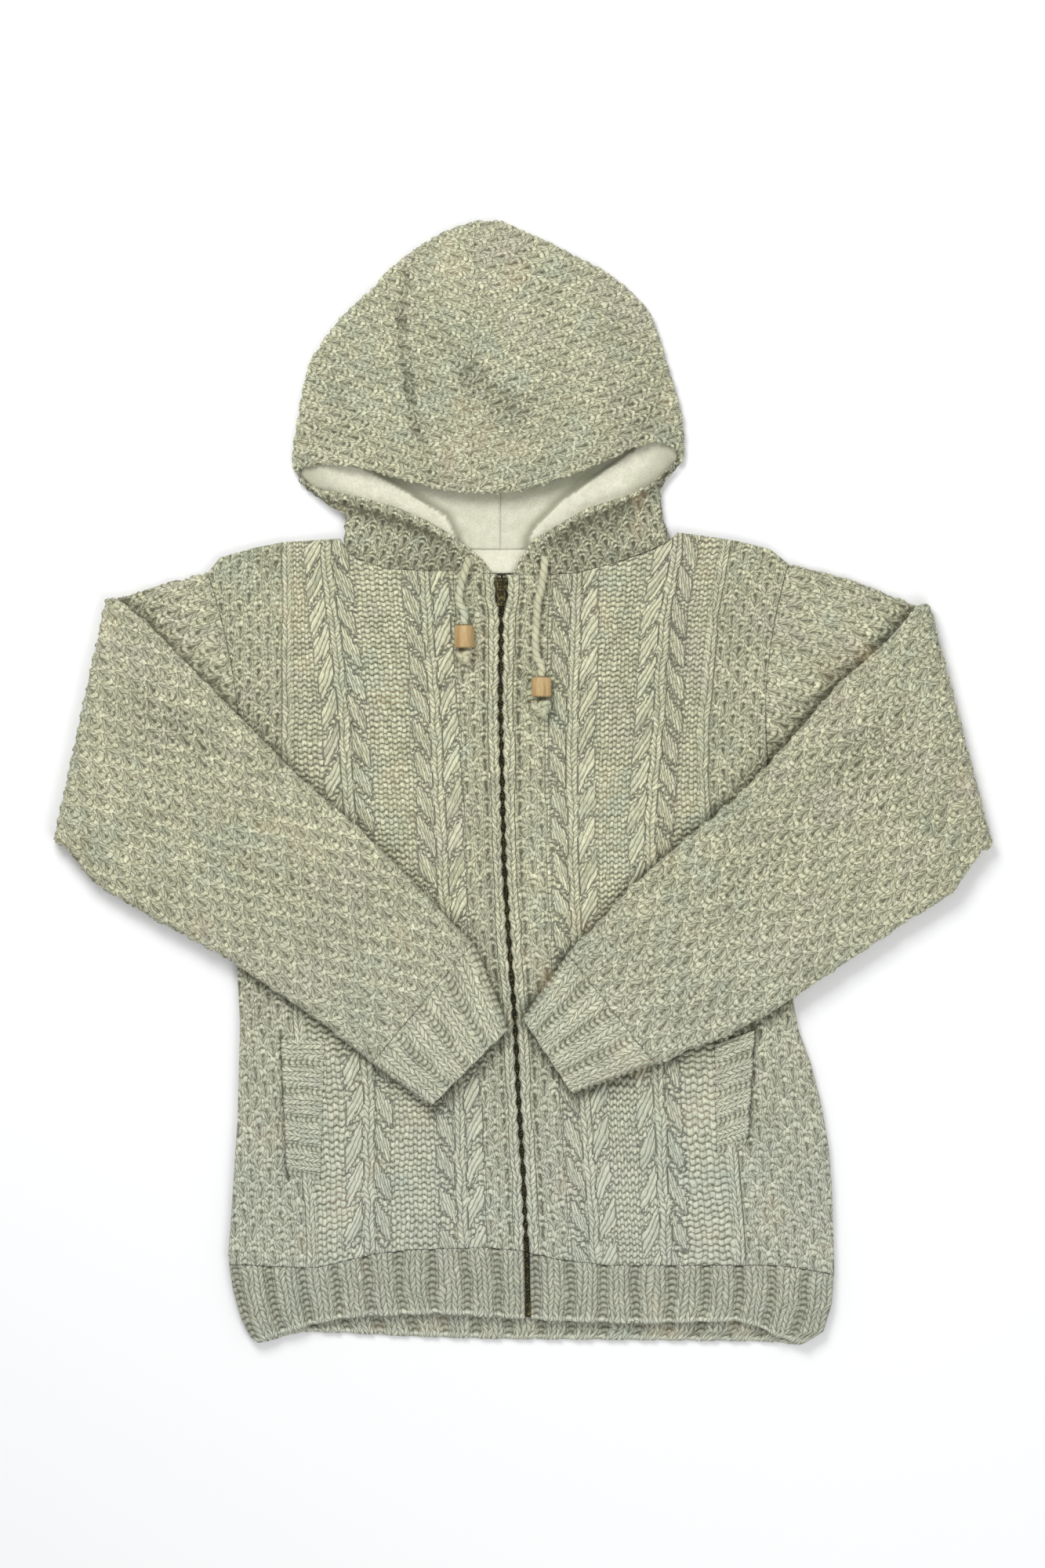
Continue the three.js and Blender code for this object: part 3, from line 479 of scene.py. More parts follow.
# ---- meshes ----
class Weaver:
    """Collects grids of points into one closed mesh that carries its stitches."""

    def __init__(self) -> None:
        """Starts with no points."""
        self.points: list[Array] = []
        self.stitches: list[Array] = []
        self.gaps: list[Array] = []
        self.styles: list[Array] = []
        self.faces: list[Array] = []
        self.count = 0

    def grid(self, points: Array, relief: Optional[Relief] = None, around: bool = False) -> Array:
        """Adds a grid of points and the faces between them.

        Args:
            points: Rows of points.
            relief: The knitting at each point, or None on a plain face, whose stitches follow x and y.
            around: Whether the last column meets the first.

        Returns:
            The numbers of the grid's points.
        """
        rows, columns = points.shape[:2]
        index = self.count + np.arange(rows * columns).reshape(rows, columns)
        self.count += rows * columns
        self.points.append(points.reshape(-1, 3))
        if relief is None:
            even = np.ones((rows, columns))
            relief = Relief(even, 0.3 * even, KNIT * even, points[..., 0] / STITCH, points[..., 1] / ROW)
        self.stitches.append(np.stack([relief.u, relief.v], -1).reshape(-1, 2))
        self.gaps.append(relief.gap.reshape(-1))
        self.styles.append(relief.style.reshape(-1))
        wide = np.concatenate([index, index[:, :1]], 1) if around else index
        a, b, c, d = wide[:-1, :-1], wide[:-1, 1:], wide[1:, 1:], wide[1:, :-1]
        self.faces.append(np.stack([a, b, c, d], -1).reshape(-1, 4))
        return index

    def join(self, first: Array, second: Array, closed: bool = True) -> None:
        """Fills the strip between two lines of points with triangles, by their shares of length.

        Args:
            first: Numbers of the points along one line.
            second: Numbers of the points along the other.
            closed: Whether both lines are rings that start at matching places.
        """
        points = np.concatenate(self.points)

        def shares(line: Array) -> Array:
            """Shares of the line's length at its points."""
            steps = np.linalg.norm(np.diff(points[line], axis=0), axis=1) + 1e-9
            return np.concatenate([[0.0], np.cumsum(steps)]) / steps.sum()

        if closed:
            first, second = np.append(first, first[0]), np.append(second, second[0])
        a, b = shares(first), shares(second)
        i = j = 0
        cells = []
        while i < len(first) - 1 or j < len(second) - 1:
            if j == len(second) - 1 or (i < len(first) - 1 and a[i + 1] <= b[j + 1]):
                cells.append((first[i], first[i + 1], second[j], -1))
                i += 1
            else:
                cells.append((first[i], second[j + 1], second[j], -1))
                j += 1
        self.faces.append(np.array(cells))

    def rim(self, index: Array) -> list[Array]:
        """The four sides of a grid, once round."""
        return [index[0], index[:, -1], index[-1, ::-1], index[::-1, 0]]

    def close(self, face: Array, back: Array) -> None:
        """Joins the four sides of a face to those of its back."""
        for first, second in zip(self.rim(face), self.rim(back)):
            self.join(first, second, closed=False)

    def cap(self, ring: Array) -> None:
        """Closes a ring with a fan round its middle.

        Args:
            ring: Numbers of the ring's points.
        """
        points = np.concatenate(self.points)
        middle = self.grid(points[ring].mean(0).reshape(1, 1, 3))[0, 0]
        after = np.roll(ring, -1)
        self.faces.append(np.stack([ring, after, np.full_like(ring, middle), np.full_like(ring, -1)], 1))

    def build(self, name: str, material: Material) -> Thing:
        """Makes the object.

        Args:
            name: Name of the piece.
            material: Its finish.

        Returns:
            The new object, with its faces turned outward.
        """
        cells = np.concatenate(self.faces)
        mesh = bpy.data.meshes.new(name)
        points = np.concatenate(self.points) * MM
        mesh.from_pydata(points.tolist(), [], [c[:3] if c[3] < 0 else c for c in cells.tolist()])
        # The painted shade goes to the material as a point attribute.
        for key, values in (("gap", self.gaps), ("style", self.styles)):
            numbers = np.concatenate(values).astype(np.float32)
            mesh.attributes.new(key, "FLOAT", "POINT").data.foreach_set("value", numbers)
        stitches = np.concatenate(self.stitches).astype(np.float32)
        corner = np.empty(len(mesh.loops), np.int32)
        mesh.loops.foreach_get("vertex_index", corner)
        mesh.uv_layers.new(name="stitches").data.foreach_set("uv", stitches[corner].reshape(-1))
        shell = bmesh.new()
        shell.from_mesh(mesh)
        bmesh.ops.remove_doubles(shell, verts=shell.verts, dist=1e-6)
        bmesh.ops.dissolve_degenerate(shell, edges=shell.edges, dist=1e-6)
        bmesh.ops.recalc_face_normals(shell, faces=shell.faces)
        shell.to_mesh(mesh)
        shell.free()
        mesh.polygons.foreach_set("use_smooth", np.ones(len(mesh.polygons), bool))
        mesh.materials.append(material)
        piece = bpy.data.objects.new(name, mesh)
        bpy.context.scene.collection.objects.link(piece)
        return piece


def normals(points: Array, around: bool = False) -> Array:
    """Unit normals of a grid, on the side where rows turn left from columns.

    Args:
        points: Rows of points.
        around: Whether the last column meets the first.

    Returns:
        One normal for each point.
    """
    if around:
        wide = np.concatenate([points[:, -1:], points, points[:, :1]], 1)
        along = (wide[:, 2:] - wide[:, :-2]) / 2
    else:
        along = np.gradient(points, axis=1)
    up = np.gradient(points, axis=0)
    normal = np.cross(along, up)
    length = np.linalg.norm(normal, axis=-1, keepdims=True)
    return np.where(length > 1e-7, normal / np.maximum(length, 1e-7), np.array([0.0, 0.0, 1.0]))


def shell(name: str, material: Material, points: Array, base: Union[float, Array],
          relief: Optional[Relief] = None, every: int = 1, inset: float = 0.0) -> Thing:
    """A closed sheet of cloth made from the points of its face.

    Args:
        name: Name of the piece.
        material: Its finish.
        points: The face.
        base: Height of the underside.
        relief: The knitting of the face, or None on a plain one.
        every: The underside has one point for so many of the face's.
        inset: How far the underside's edges lie within the face's.

    Returns:
        The piece.
    """
    weaver = Weaver()
    face = weaver.grid(points, relief)
    under = points.copy()
    if every > 1:
        under = points[np.ix_(thinned(points.shape[0], every), thinned(points.shape[1], every))].copy()
    under[..., 2] = base
    under[:, 0, 0] += inset
    under[:, -1, 0] -= inset
    under[0, :, 1] += inset
    under[-1, :, 1] -= inset
    weaver.close(face, weaver.grid(under))
    return weaver.build(name, material)


def thinned(count: int, every: int) -> Array:
    """Places of about one in every so many of a number of lines, both ends kept."""
    return np.unique(np.linspace(0, count - 1, max(2, count // every + 1)).round().astype(int))


# ---- materials ----
Number = Union[float, "Link"]


class Link:
    """A value on its way through a material's nodes, which takes part in sums as a number does."""

    def __init__(self, nodes: "Nodes", socket: bpy.types.NodeSocket) -> None:
        """Wraps an output socket of a material's nodes."""
        self.nodes = nodes
        self.socket = socket

    def maths(self, operation: str, *others: Number) -> "Link":
        """One Math node on this value and others."""
        return self.nodes.add("ShaderNodeMath", {"operation": operation}, dict(enumerate((self, *others))))

    def __add__(self, other: Number) -> "Link":
        """The sum."""
        return self.maths("ADD", other)

    def __sub__(self, other: Number) -> "Link":
        """The difference."""
        return self.maths("SUBTRACT", other)

    def __rsub__(self, other: Number) -> "Link":
        """The difference the other way."""
        return (self * -1.0) + other

    def __mul__(self, other: Number) -> "Link":
        """The product."""
        return self.maths("MULTIPLY", other)

    def __pow__(self, other: Number) -> "Link":
        """The power."""
        return self.maths("POWER", other)

    __radd__ = __add__
    __rmul__ = __mul__


class Nodes:
    """The node tree of one material."""

    def __init__(self, name: str) -> None:
        """Starts a material with an empty tree.

        Args:
            name: Name of the material.
        """
        self.material = bpy.data.materials.new(name)
        self.material.use_nodes = True
        self.tree = self.material.node_tree
        self.tree.nodes.clear()

    def add(
        self, kind: str, settings: Optional[dict] = None, values: Optional[dict] = None,
        output: Union[int, str] = 0,
    ) -> Link:
        """Adds one node.

        Args:
            kind: The node's type.
            settings: Its own settings, and for a colour ramp its stops.
            values: Numbers, colours or links for its sockets, by name or place.
            output: The socket that is wanted.

        Returns:
            The node's output.
        """
        node = self.tree.nodes.new(kind)
        for key, value in (settings or {}).items():
            if key == "stops":
                ramp = node.color_ramp.elements
                while len(ramp) < len(value):
                    ramp.new(0.5)
                for stop, (place, colour) in zip(ramp, value):
                    stop.position, stop.color = place, (*colour, 1.0)
            else:
                setattr(node, key, value)
        for key, value in (values or {}).items():
            if isinstance(value, Link):
                self.tree.links.new(value.socket, node.inputs[key])
            elif isinstance(value, tuple) and len(value) == 3 and node.inputs[key].type == "RGBA":
                node.inputs[key].default_value = (*value, 1.0)
            else:
                node.inputs[key].default_value = value
        return Link(self, node.outputs[output])

    def place(self) -> Link:
        """The place on the piece in its own space, in metres."""
        return self.add("ShaderNodeTexCoord", output="Object")

    def split(self, vector: Link) -> tuple[Link, Link]:
        """The first two parts of a vector."""
        parts = self.add("ShaderNodeSeparateXYZ", {}, {"Vector": vector})
        return parts, Link(self, parts.socket.node.outputs[1])

    def vector(self, x: Number, y: Number, z: Number = 0.0) -> Link:
        """A vector of three values."""
        return self.add("ShaderNodeCombineXYZ", {}, {0: x, 1: y, 2: z})

    def random(self, x: Link, y: Link) -> Link:
        """A random number from 0 to 1 for each pair of whole numbers."""
        return self.add("ShaderNodeTexWhiteNoise", {"noise_dimensions": "2D"}, {"Vector": self.vector(x, y)})

    def attribute(self, name: str) -> Link:
        """A number that the mesh carries."""
        return self.add("ShaderNodeAttribute", {"attribute_name": name}, output="Fac")

    def noise(self, scale: float, detail: float = 2.0, vector: Optional[Link] = None, **more: float) -> Link:
        """Smooth noise from 0 to 1 with so many features a metre."""
        values = {"Vector": vector or self.place(), "Scale": scale, "Detail": detail, **more}
        return self.add("ShaderNodeTexNoise", {}, values, "Fac")

    def stretched(self, scale: tuple[float, float, float]) -> Link:
        """The place stretched by a factor along each axis."""
        return self.add("ShaderNodeMapping", {}, {"Vector": self.place(), "Scale": scale})

    def mix(self, share: Number, first: Union[Colour, Link], second: Union[Colour, Link],
            blend: str = "MIX") -> Link:
        """A mix of two colours."""
        settings = {"data_type": "RGBA", "blend_type": blend}
        return self.add("ShaderNodeMix", settings, {0: share, 6: first, 7: second}, 2)

    def ramp(self, value: Link, stops: Sequence[tuple[float, Colour]]) -> Link:
        """Colours along a value."""
        return self.add("ShaderNodeValToRGB", {"stops": stops}, {"Fac": value}, "Color")

    def level(self, value: Link, low: float, high: float) -> Link:
        """A value brought from low..high to 0..1 and held there."""
        return self.add("ShaderNodeMapRange", {"clamp": True}, {0: value, 1: low, 2: high, 3: 0.0, 4: 1.0})

    def finish(self, colour: Union[Colour, Link], roughness: Number, bump: Optional[Link] = None,
               depth: float = 0.0005, strength: float = 0.6, **constant: float) -> Material:
        """Ends the material in one shader.

        Args:
            colour: Its base colour.
            roughness: Its roughness.
            bump: Fine height, from 0 to 1.
            depth: What a height of 1 is, in metres.
            strength: Strength of the bump.
            **constant: Other sockets that are the same all over.

        Returns:
            The material.
        """
        values: dict = {"Base Color": colour, "Roughness": roughness}
        if bump is not None:
            values["Normal"] = self.add(
                "ShaderNodeBump", {}, {"Height": bump, "Distance": depth, "Strength": strength})
        values.update({key.replace("_", " "): value for key, value in constant.items()})
        shader = self.add("ShaderNodeBsdfPrincipled", {}, values)
        self.add_output(shader)
        return self.material

    def add_output(self, shader: Link) -> None:
        """Sends a shader to the material's output."""
        end = self.tree.nodes.new("ShaderNodeOutputMaterial")
        self.tree.links.new(shader.socket, end.inputs["Surface"])


def ink(red: int, green: int, blue: int) -> Colour:
    """A colour given as a screen shows it, made linear.

    Args:
        red: Its red, from 0 to 255.
        green: Its green.
        blue: Its blue.

    Returns:
        The linear colour.
    """
    def one(value: int) -> float:
        """One channel."""
        c = value / 255
        return c / 12.92 if c <= 0.04045 else ((c + 0.055) / 1.055) ** 2.4
    return one(red), one(green), one(blue)


@dataclass(frozen=True)
class WoolFinish:
    """Heathered oatmeal wool: cream and grey-green fibres spun together.

    Attributes:
        name: Name of the material.
        cream: The light fibres.
        grey: The dark fibres.
        gap: Painted shade colour, for places that lie deep between loops.
        rust: Painted shade colour, tan, which the painted shade takes in rare patches.
        green: A cast of the wool in places.
        lilac: Another.
        cool: The cooler, lighter colour that the lower body turns to.
        leg_slope: Rows that a knit leg climbs in a stitch's width.
        arch: Height of a purl arch, in rows.
        depth: Height of a strand of yarn, in metres.
    """

    name: str
    cream: Colour = ink(238, 236, 202)
    grey: Colour = ink(156, 158, 130)
    gap: Colour = ink(78, 76, 54)
    rust: Colour = ink(160, 128, 90)
    green: Colour = ink(176, 192, 172)
    lilac: Colour = ink(196, 188, 178)
    cool: Colour = ink(202, 208, 201)
    leg_slope: float = 2.5
    arch: float = 0.19
    depth: float = 0.0015

    def build(self) -> Material:
        """Makes the material."""
        n = Nodes(self.name)
        style = n.attribute("style")
        u, v = n.split(n.add("ShaderNodeUVMap", {"uv_map": "stitches"}))
        moss = style.maths("GREATER_THAN", (BRAID + MOSS) / 2)
        braid = style.maths("GREATER_THAN", (KNIT + BRAID) / 2) * (1.0 - moss)
        loose = 1.0 - braid * 0.8
        u = u + (n.noise(70.0, 1.0) - 0.5) * (0.6 + moss * 0.5) + (n.noise(210.0, 1.0) - 0.5) * 0.3
        v = v + ((n.noise(95.0, 1.0) - 0.5) * (0.8 + moss * 0.5) + (n.noise(230.0, 1.0) - 0.5) * 0.4) * loose
        knit = self.knit_share(u, v, style, moss)
        beside = (u.maths("FRACT") - 0.5).maths("ABSOLUTE")
        turn = (u * math.tau).maths("COSINE")
        arches = v + turn * self.arch
        strand = arches + knit * (v - beside * self.leg_slope - arches)
        strand = strand + braid * (u - strand)
        across = strand.maths("FRACT") * 2.0 - 1.0
        leg_edge = beside * 4.0 - 1.0
        notch = (1.0 - turn * turn) ** 3.0
        arch_body = 0.95 - notch * 0.8
        body = arch_body + knit * (1.0 - leg_edge * leg_edge - arch_body)
        end = v * 2.0 - 1.0
        body = body + braid * (1.0 - end * end * end * end - body)
        yarn = ((1.0 - across * across) * body).maths("MAXIMUM", 0.0) ** 0.5
        side = (u * 2.0 + (1.0 - knit) * 0.5).maths("FLOOR")
        own = n.random(strand.maths("FLOOR"), side * (1.0 - braid))
        along = u * 1.5 + (knit * (v - u * 1.5)) + braid * v * 1.6
        fine = strand * (3.4 - braid * 1.2)
        plies = n.noise(1.0, 2.0, n.vector(fine, along, own * 9.0), Roughness=0.6)
        twist = ((along * 1.35 + across * 0.28) * math.tau).maths("SINE")
        flecks = n.noise(640.0, 3.0, n.stretched((1.0, 0.5, 1.0)), Roughness=0.7)
        patches = n.noise(30.0, 2.0)
        share = n.level(flecks * 0.7 + plies * 0.6 + own * 0.24 + patches * 0.3 + twist * 0.06, 0.64, 1.22)
        cast = n.noise(58.0, 2.0) * 0.45 + n.noise(19.0, 1.0) * 0.55
        wool = n.mix(share, self.grey, self.cream)
        wool = n.mix(n.level(cast, 0.53, 0.66) * 0.34, wool, self.green)
        wool = n.mix(n.level(cast, 0.47, 0.34) * 0.26, wool, self.lilac)
        hairs = n.level(n.noise(1500.0, 1.0, n.stretched((1.0, 0.22, 1.0))), 0.62, 0.74)
        wool = n.mix(hairs * 0.35, wool, self.cream)
        greyer = n.level(n.split(n.place())[1], -0.08, -0.34) * 0.42
        wool = n.mix(greyer, wool, self.cool)
        # Painted shade, dark where the yarn lies low between its strands.
        deep = n.level(yarn, 0.72, 0.05) * 0.88
        dip = (u * math.pi).maths("SINE") * (v * (math.pi / 2)).maths("SINE")
        # Painted shade from the mesh's attribute, and over the knit patches of moss stitch, which lie low.
        low = n.level(n.attribute("gap"), 0.35, 1.1) * 0.8 + moss * n.level(dip, -0.1, 0.9) * 0.32
        shade = (deep + low * (1.0 - deep)).maths("MINIMUM", 0.92)
        # The painted shade mixes the wool towards the dark shade colour, tan in patches.
        tan = n.level(n.noise(23.0, 1.0), 0.6, 0.72) * 0.45
        wool = n.mix(shade, wool, n.mix(tan, self.gap, self.rust))
        height = yarn * 0.7 + plies * 0.15 + n.noise(1700.0, 2.0) * 0.15
        return n.finish(
            wool, 0.92, height, self.depth, 0.85, Sheen_Weight=0.2, Sheen_Roughness=0.6,
            Specular_IOR_Level=0.2)

    def knit_share(self, u: Link, v: Link, style: Link, moss: Link) -> Link:
        """1 on knit stitches and 0 on purl ones.

        Args:
            u: Stitches across.
            v: Rows up.
            style: The stitch.
            moss: 1 where the stitch is moss.

        Returns:
            The share.
        """
        pairs = (v * 0.5).maths("FLOOR")
        odd = ((u.maths("FLOOR") + pairs) * 0.5).maths("FRACT").maths("GREATER_THAN", 0.25)
        plain = style.maths("GREATER_THAN", (PURL + KNIT) / 2)
        return plain + moss * (1.0 - odd - plain)


@dataclass(frozen=True)
class FleeceFinish:
    """Cream brushed fleece with a short nap.

    Attributes:
        name: Name of the material.
        light: Tips of the nap.
        dark: Its roots.
        deep: Colour in the shade of folds.
    """

    name: str = "fleece"
    light: Colour = ink(236, 234, 214)
    dark: Colour = ink(204, 202, 178)
    deep: Colour = ink(122, 124, 97)

    def build(self) -> Material:
        """Makes the material."""
        n = Nodes(self.name)
        nap = n.noise(700.0, 4.0) * 0.6 + n.noise(120.0, 2.0) * 0.4
        colour = n.mix(n.level(nap, 0.3, 0.7), self.dark, self.light)
        # Painted shade: the fleece turns to the shade colour where the mesh carries painted shade.
        colour = n.mix(n.attribute("gap") * 0.7, colour, self.deep)
        return n.finish(colour, 0.95, nap, 0.0009, 0.5, Sheen_Weight=0.5, Sheen_Roughness=0.5,
                        Specular_IOR_Level=0.15)


@dataclass(frozen=True)
class TapeFinish:
    """Woven zip tape.

    Attributes:
        name: Name of the material.
        light: Its lighter colour.
        dark: Its darker colour.
    """

    name: str = "tape"
    light: Colour = ink(120, 116, 92)
    dark: Colour = ink(78, 74, 54)

    def build(self) -> Material:
        """Makes the material."""
        n = Nodes(self.name)
        weave = n.noise(1500.0, 1.0, n.stretched((1.0, 0.5, 1.0)))
        return n.finish(n.mix(weave, self.dark, self.light), 0.85, weave, 0.0003, 0.5)


@dataclass(frozen=True)
class BrassFinish:
    """Dark antique brass, worn bright in patches.

    Attributes:
        name: Name of the material.
        dark: Colour of the old surface.
        bright: Colour where it is worn.
    """

    name: str = "brass"
    dark: Colour = ink(44, 41, 28)
    bright: Colour = ink(138, 128, 84)

    def build(self) -> Material:
        """Makes the material."""
        n = Nodes(self.name)
        wear = n.level(n.noise(420.0, 4.0), 0.46, 0.8)
        roughness = 0.5 - wear * 0.18
        return n.finish(n.mix(wear, self.dark, self.bright), roughness, n.noise(1800.0, 2.0), 0.0001, 0.3,
                        Metallic=0.85)


@dataclass(frozen=True)
class WoodFinish:
    """Pale bare wood with its grain along the bead.

    Attributes:
        name: Name of the material.
        light: Its lighter colour.
        dark: Its darker colour.
    """

    name: str = "wood"
    light: Colour = ink(206, 178, 128)
    dark: Colour = ink(158, 126, 80)

    def build(self) -> Material:
        """Makes the material."""
        n = Nodes(self.name)
        grain = n.noise(620.0, 4.0, n.stretched((1.0, 0.09, 1.0)), Roughness=0.6)
        rings = n.noise(160.0, 2.0, n.stretched((1.0, 0.16, 1.0)))
        share = n.level(grain * 0.7 + rings * 0.4, 0.36, 0.72)
        return n.finish(n.mix(share, self.dark, self.light), 0.5 + share * 0.12, grain, 0.00025, 0.6,
                        Specular_IOR_Level=0.35)


@dataclass
class Wardrobe:
    """The finishes that the pieces share.

    Attributes:
        wool: The knitting.
        fleece: The lining and the neck tape.
        tape: The zip's woven tape.
        brass: The zip's metal.
        wood: The beads.
        cord: The drawstring's wool.
    """

    wool: Material = field(default_factory=lambda: WoolFinish("wool").build())
    fleece: Material = field(default_factory=lambda: FleeceFinish().build())
    tape: Material = field(default_factory=lambda: TapeFinish().build())
    brass: Material = field(default_factory=lambda: BrassFinish().build())
    wood: Material = field(default_factory=lambda: WoodFinish().build())
    cord: Material = field(
        default_factory=lambda: WoolFinish("cord", ink(214, 211, 178), ink(160, 159, 130)).build())


def dress(piece: Thing, node: str, body: str = "garment") -> Thing:
    """Puts a piece in the place of its node.

    Args:
        piece: The new piece.
        node: The node that it replaces.
        body: The body that it moves with.

    Returns:
        The same piece.
    """
    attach(piece, body)
    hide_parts(node)
    LOG.info("%s: %d faces", piece.name, len(piece.data.polygons))
    return piece


# ---- the body ----
def seam_valley(off: Array, depth: float = 1.1, width: float = 3.2) -> Array:
    """Depth of the soft valley beside a sewn edge, by the distance from it."""
    return depth * np.exp(-((off / width) ** 2))


def armhole_x(cut: HalfCut, y: Array) -> Array:
    """The armhole's x at a height."""
    top_x, top_y, low_x, low_y, bow = cut.armhole
    t = np.clip((top_y - y) / (top_y - low_y), 0, 1)
    return top_x + (low_x - top_x) * t + bow * 4 * t * (1 - t)


def side_x(side: Side, y: Array) -> Array:
    """The x of the body's side at a height, armhole included."""
    cut = CUTS[side]
    return np.where(y > cut.armhole[3], armhole_x(cut, y), read(cut.side_seam, y))


def zip_x(side: Side, y: Array) -> Array:
    """The x of a front's edge at the zip."""
    return read(ZIP_LINE, y) + side.sign * (2.3 + 3.0 * smooth((y - 140) / 16))


def branch_rows(level: Array) -> Array:
    """Rows of the branches up to a height over the hem, three for each branch and closer at the top."""
    low, high = BRANCH_HEM_PITCH / 3, BRANCH_TOP_PITCH / 3
    growth = (high - low) / (FRONT_TOP - FRONT_LOW)
    return np.log1p(growth * (level - FRONT_LOW) / low) / growth


BODY_FOLDS = [
    (-205, -120, -150, 40, 16, 0.9), (-120, -330, -60, -250, 22, -0.8), (150, -150, 205, 60, 16, 0.9),
    (60, -350, 120, -260, 20, -0.9), (-210, -360, -190, -260, 14, 0.8), (215, -380, 225, -260, 14, 0.9),
    (-100, 60, -60, 150, 20, 0.6), (60, 20, 90, 140, 18, -0.6),
]


@dataclass
class Front:
    """One front: a moss panel at the side, a single rib, two trees of branches on purl, and the zip edge.

    Attributes:
        side: Which half.
        per_stitch: Points across a stitch.
        lines: Lines of points up the front.
        side_columns: Points across the moss panel.
        branch_length: Length of a branch along itself.
        branch_width: Its width.
        strand: Width of a strand in it.
        stem_width: Width of a stem's knit column.
        counts: Stitches between the guide lines, from the rib to the zip.
        rib_at: Column of the single rib.
        outer_at: Column of the outer stem.
        inner_at: Column of the inner stem.
        band_at: First column of the moss band at the zip.
        edge_at: Column of the chain at the zip.
    """

    side: Side
    per_stitch: int = 6
    lines: int = 461
    side_columns: int = 42
    branch_length: float = 30.0
    branch_width: float = 12.4
    strand: float = 4.4
    stem_width: float = 9.6
    counts: tuple[int, ...] = (1, 5, 1, 9, 1, 6)
    rib_at: int = 0
    outer_at: int = 6
    inner_at: int = 16
    band_at: int = 19
    edge_at: int = 22

    def knots(self, y: Array) -> list[Array]:
        """Guide lines from the side to the zip.

        Args:
            y: Heights.

        Returns:
            The x of each line at those heights.
        """
        cut, s = CUTS[self.side], self.side.sign
        rib, outer, inner = (read(cut.columns, y, k) for k in (1, 2, 3))
        half = self.stem_width / 2
        return [
            side_x(self.side, y), rib + 4 * s, rib - 4 * s, outer + half * s, outer - half * s,
            inner + half * s, inner - half * s, zip_x(self.side, y),
        ]

    def make(self, wardrobe: Wardrobe) -> Thing:
        """Builds the front.

        Args:
            wardrobe: The finishes.

        Returns:
            The piece.
        """
        segments = [(0, (c + 0.5) / self.side_columns - 0.5 / self.side_columns)
                    for c in range(self.side_columns)]
        for k, stitches in enumerate(self.counts):
            steps = stitches * self.per_stitch
            segments += [(k + 1, c / steps) for c in range(steps)]
        segments.append((len(self.counts), 1.0))
        which = np.array([s for s, _ in segments])
        share = np.array([f for _, f in segments])
        line_share = np.linspace(0, 1, self.lines)[:, None]
        y = np.repeat(FRONT_LOW + line_share * (FRONT_TOP - FRONT_LOW), len(segments), 1)
        for _ in range(ROUNDS):
            knots = np.stack(self.knots(y), 0)
            start = np.take_along_axis(knots, np.broadcast_to(which, y.shape)[None], 0)[0]
            end = np.take_along_axis(knots, np.broadcast_to(which + 1, y.shape)[None], 0)[0]
            x = start + (end - start) * share
            low = read(RIB_TOP, x)
            y = low + line_share * (read(TOP_EDGE, x) - low)
        starts = np.concatenate([[0], np.cumsum(self.counts)])
        across = starts[np.clip(which - 1, 0, None)] + share * np.array(
            (1, *self.counts))[which].astype(float)
        u = np.broadcast_to(across, y.shape).copy()
        panel = np.broadcast_to(which == 0, y.shape)
        u[panel] = -(np.abs(x - end) / STITCH)[panel]
        level = y - (low - FRONT_LOW) * (1 - smooth((y - FRONT_LOW) / 200))
        v = 2 * branch_rows(level)
        rows = v + 0.3 * drift(x, y, 45, 6) + 0.22 * drift(x, y, 17, 7)
        relief = self.relief(x, y, u + 0.1 * drift(x, y, 30, 5), rows, level)
        top = read(TOP_EDGE, x)
        at_neck = (x > NECK_FIRST) & (x < NECK_LAST)
        at_armhole = y > CUTS[self.side].armhole[3]
        sewn = np.minimum(y - low, np.where(at_neck, top - y, FAR))
        sewn = np.minimum(sewn, np.where(at_armhole, np.abs(x - knots[0]), FAR))
        free = np.where(at_neck, FAR, top - y)
        free = np.minimum(free, np.where(at_armhole, FAR, np.abs(x - knots[0])))
        relief.height = relief.height * (0.45 + 0.55 * smooth(sewn / 3.5))
        height = relief.height - 0.9 + soft_folds(x, y, BODY_FOLDS) + 0.5 * drift(x, y, 70, 9)
        # Painted shadow beside the folded sleeve's edge and painted shade along the welt's opening, where
        # the cloth also dips, and a little more painted shade over the upper front.
        shadow = tucked(self.side, x, y)
        welt_shade_and_dip = np.exp(-((line_distance(x, y, CUTS[self.side].welt[::2]) / 4.2) ** 2))
        relief.gap = relief.gap + 0.75 * shadow + 0.6 * welt_shade_and_dip + 0.14 * smooth((y + 80) / 160)
        relief.gap = np.clip(relief.gap, 0, 1.2)
        height = height - 1.2 * shadow - 0.5 * welt_shade_and_dip
        edge = np.minimum(free, np.abs(x - knots[-1])).clip(0, RIM)
        drop = rounding(edge) + seam_valley(sewn, 0.3)
        scallop = 0.8 * np.sin(np.pi * v / 1.4 + 2.4 * drift(x, y, 25, 4)) * smooth((u - 21.6) / 1.4)
        x = x + self.side.sign * (scallop - 0.6 * smooth((u - 22) / 1.0))
        points = np.stack([x, y, FRONT_BASE + WALL - drop + height * smooth(edge / RIM + 0.25)], -1)
        if self.side is Side.LEFT:
            points, relief = points[:, ::-1], relief.turned()
        piece = shell(
            f"front_{self.side.word}_knit", wardrobe.wool, points, FRONT_BASE, relief, 8, UNDER_INSET)
        return dress(piece, f"front_{self.side.word}")

    def relief(self, x: Array, y: Array, u: Array, v: Array, level: Array) -> Relief:
        """The knitting of the whole front.

        Args:
            x: Places across.
            y: Places up.
            u: Stitches from the rib.
            v: Rows.
            level: Heights over the hem's seam.

        Returns:
            The relief.
        """
        seed = 40 + self.side.sign
        knit_columns = (self.rib_at, self.outer_at, self.inner_at)

        def kind(i: Array, j: Array) -> Array:
            """Knit in the rib, the stems and half of the moss."""
            moss = ((i < 0) | ((i >= self.band_at) & (i < self.edge_at))) & is_moss(i, j)
            return np.isin(i, knit_columns) | moss | (i == self.edge_at)

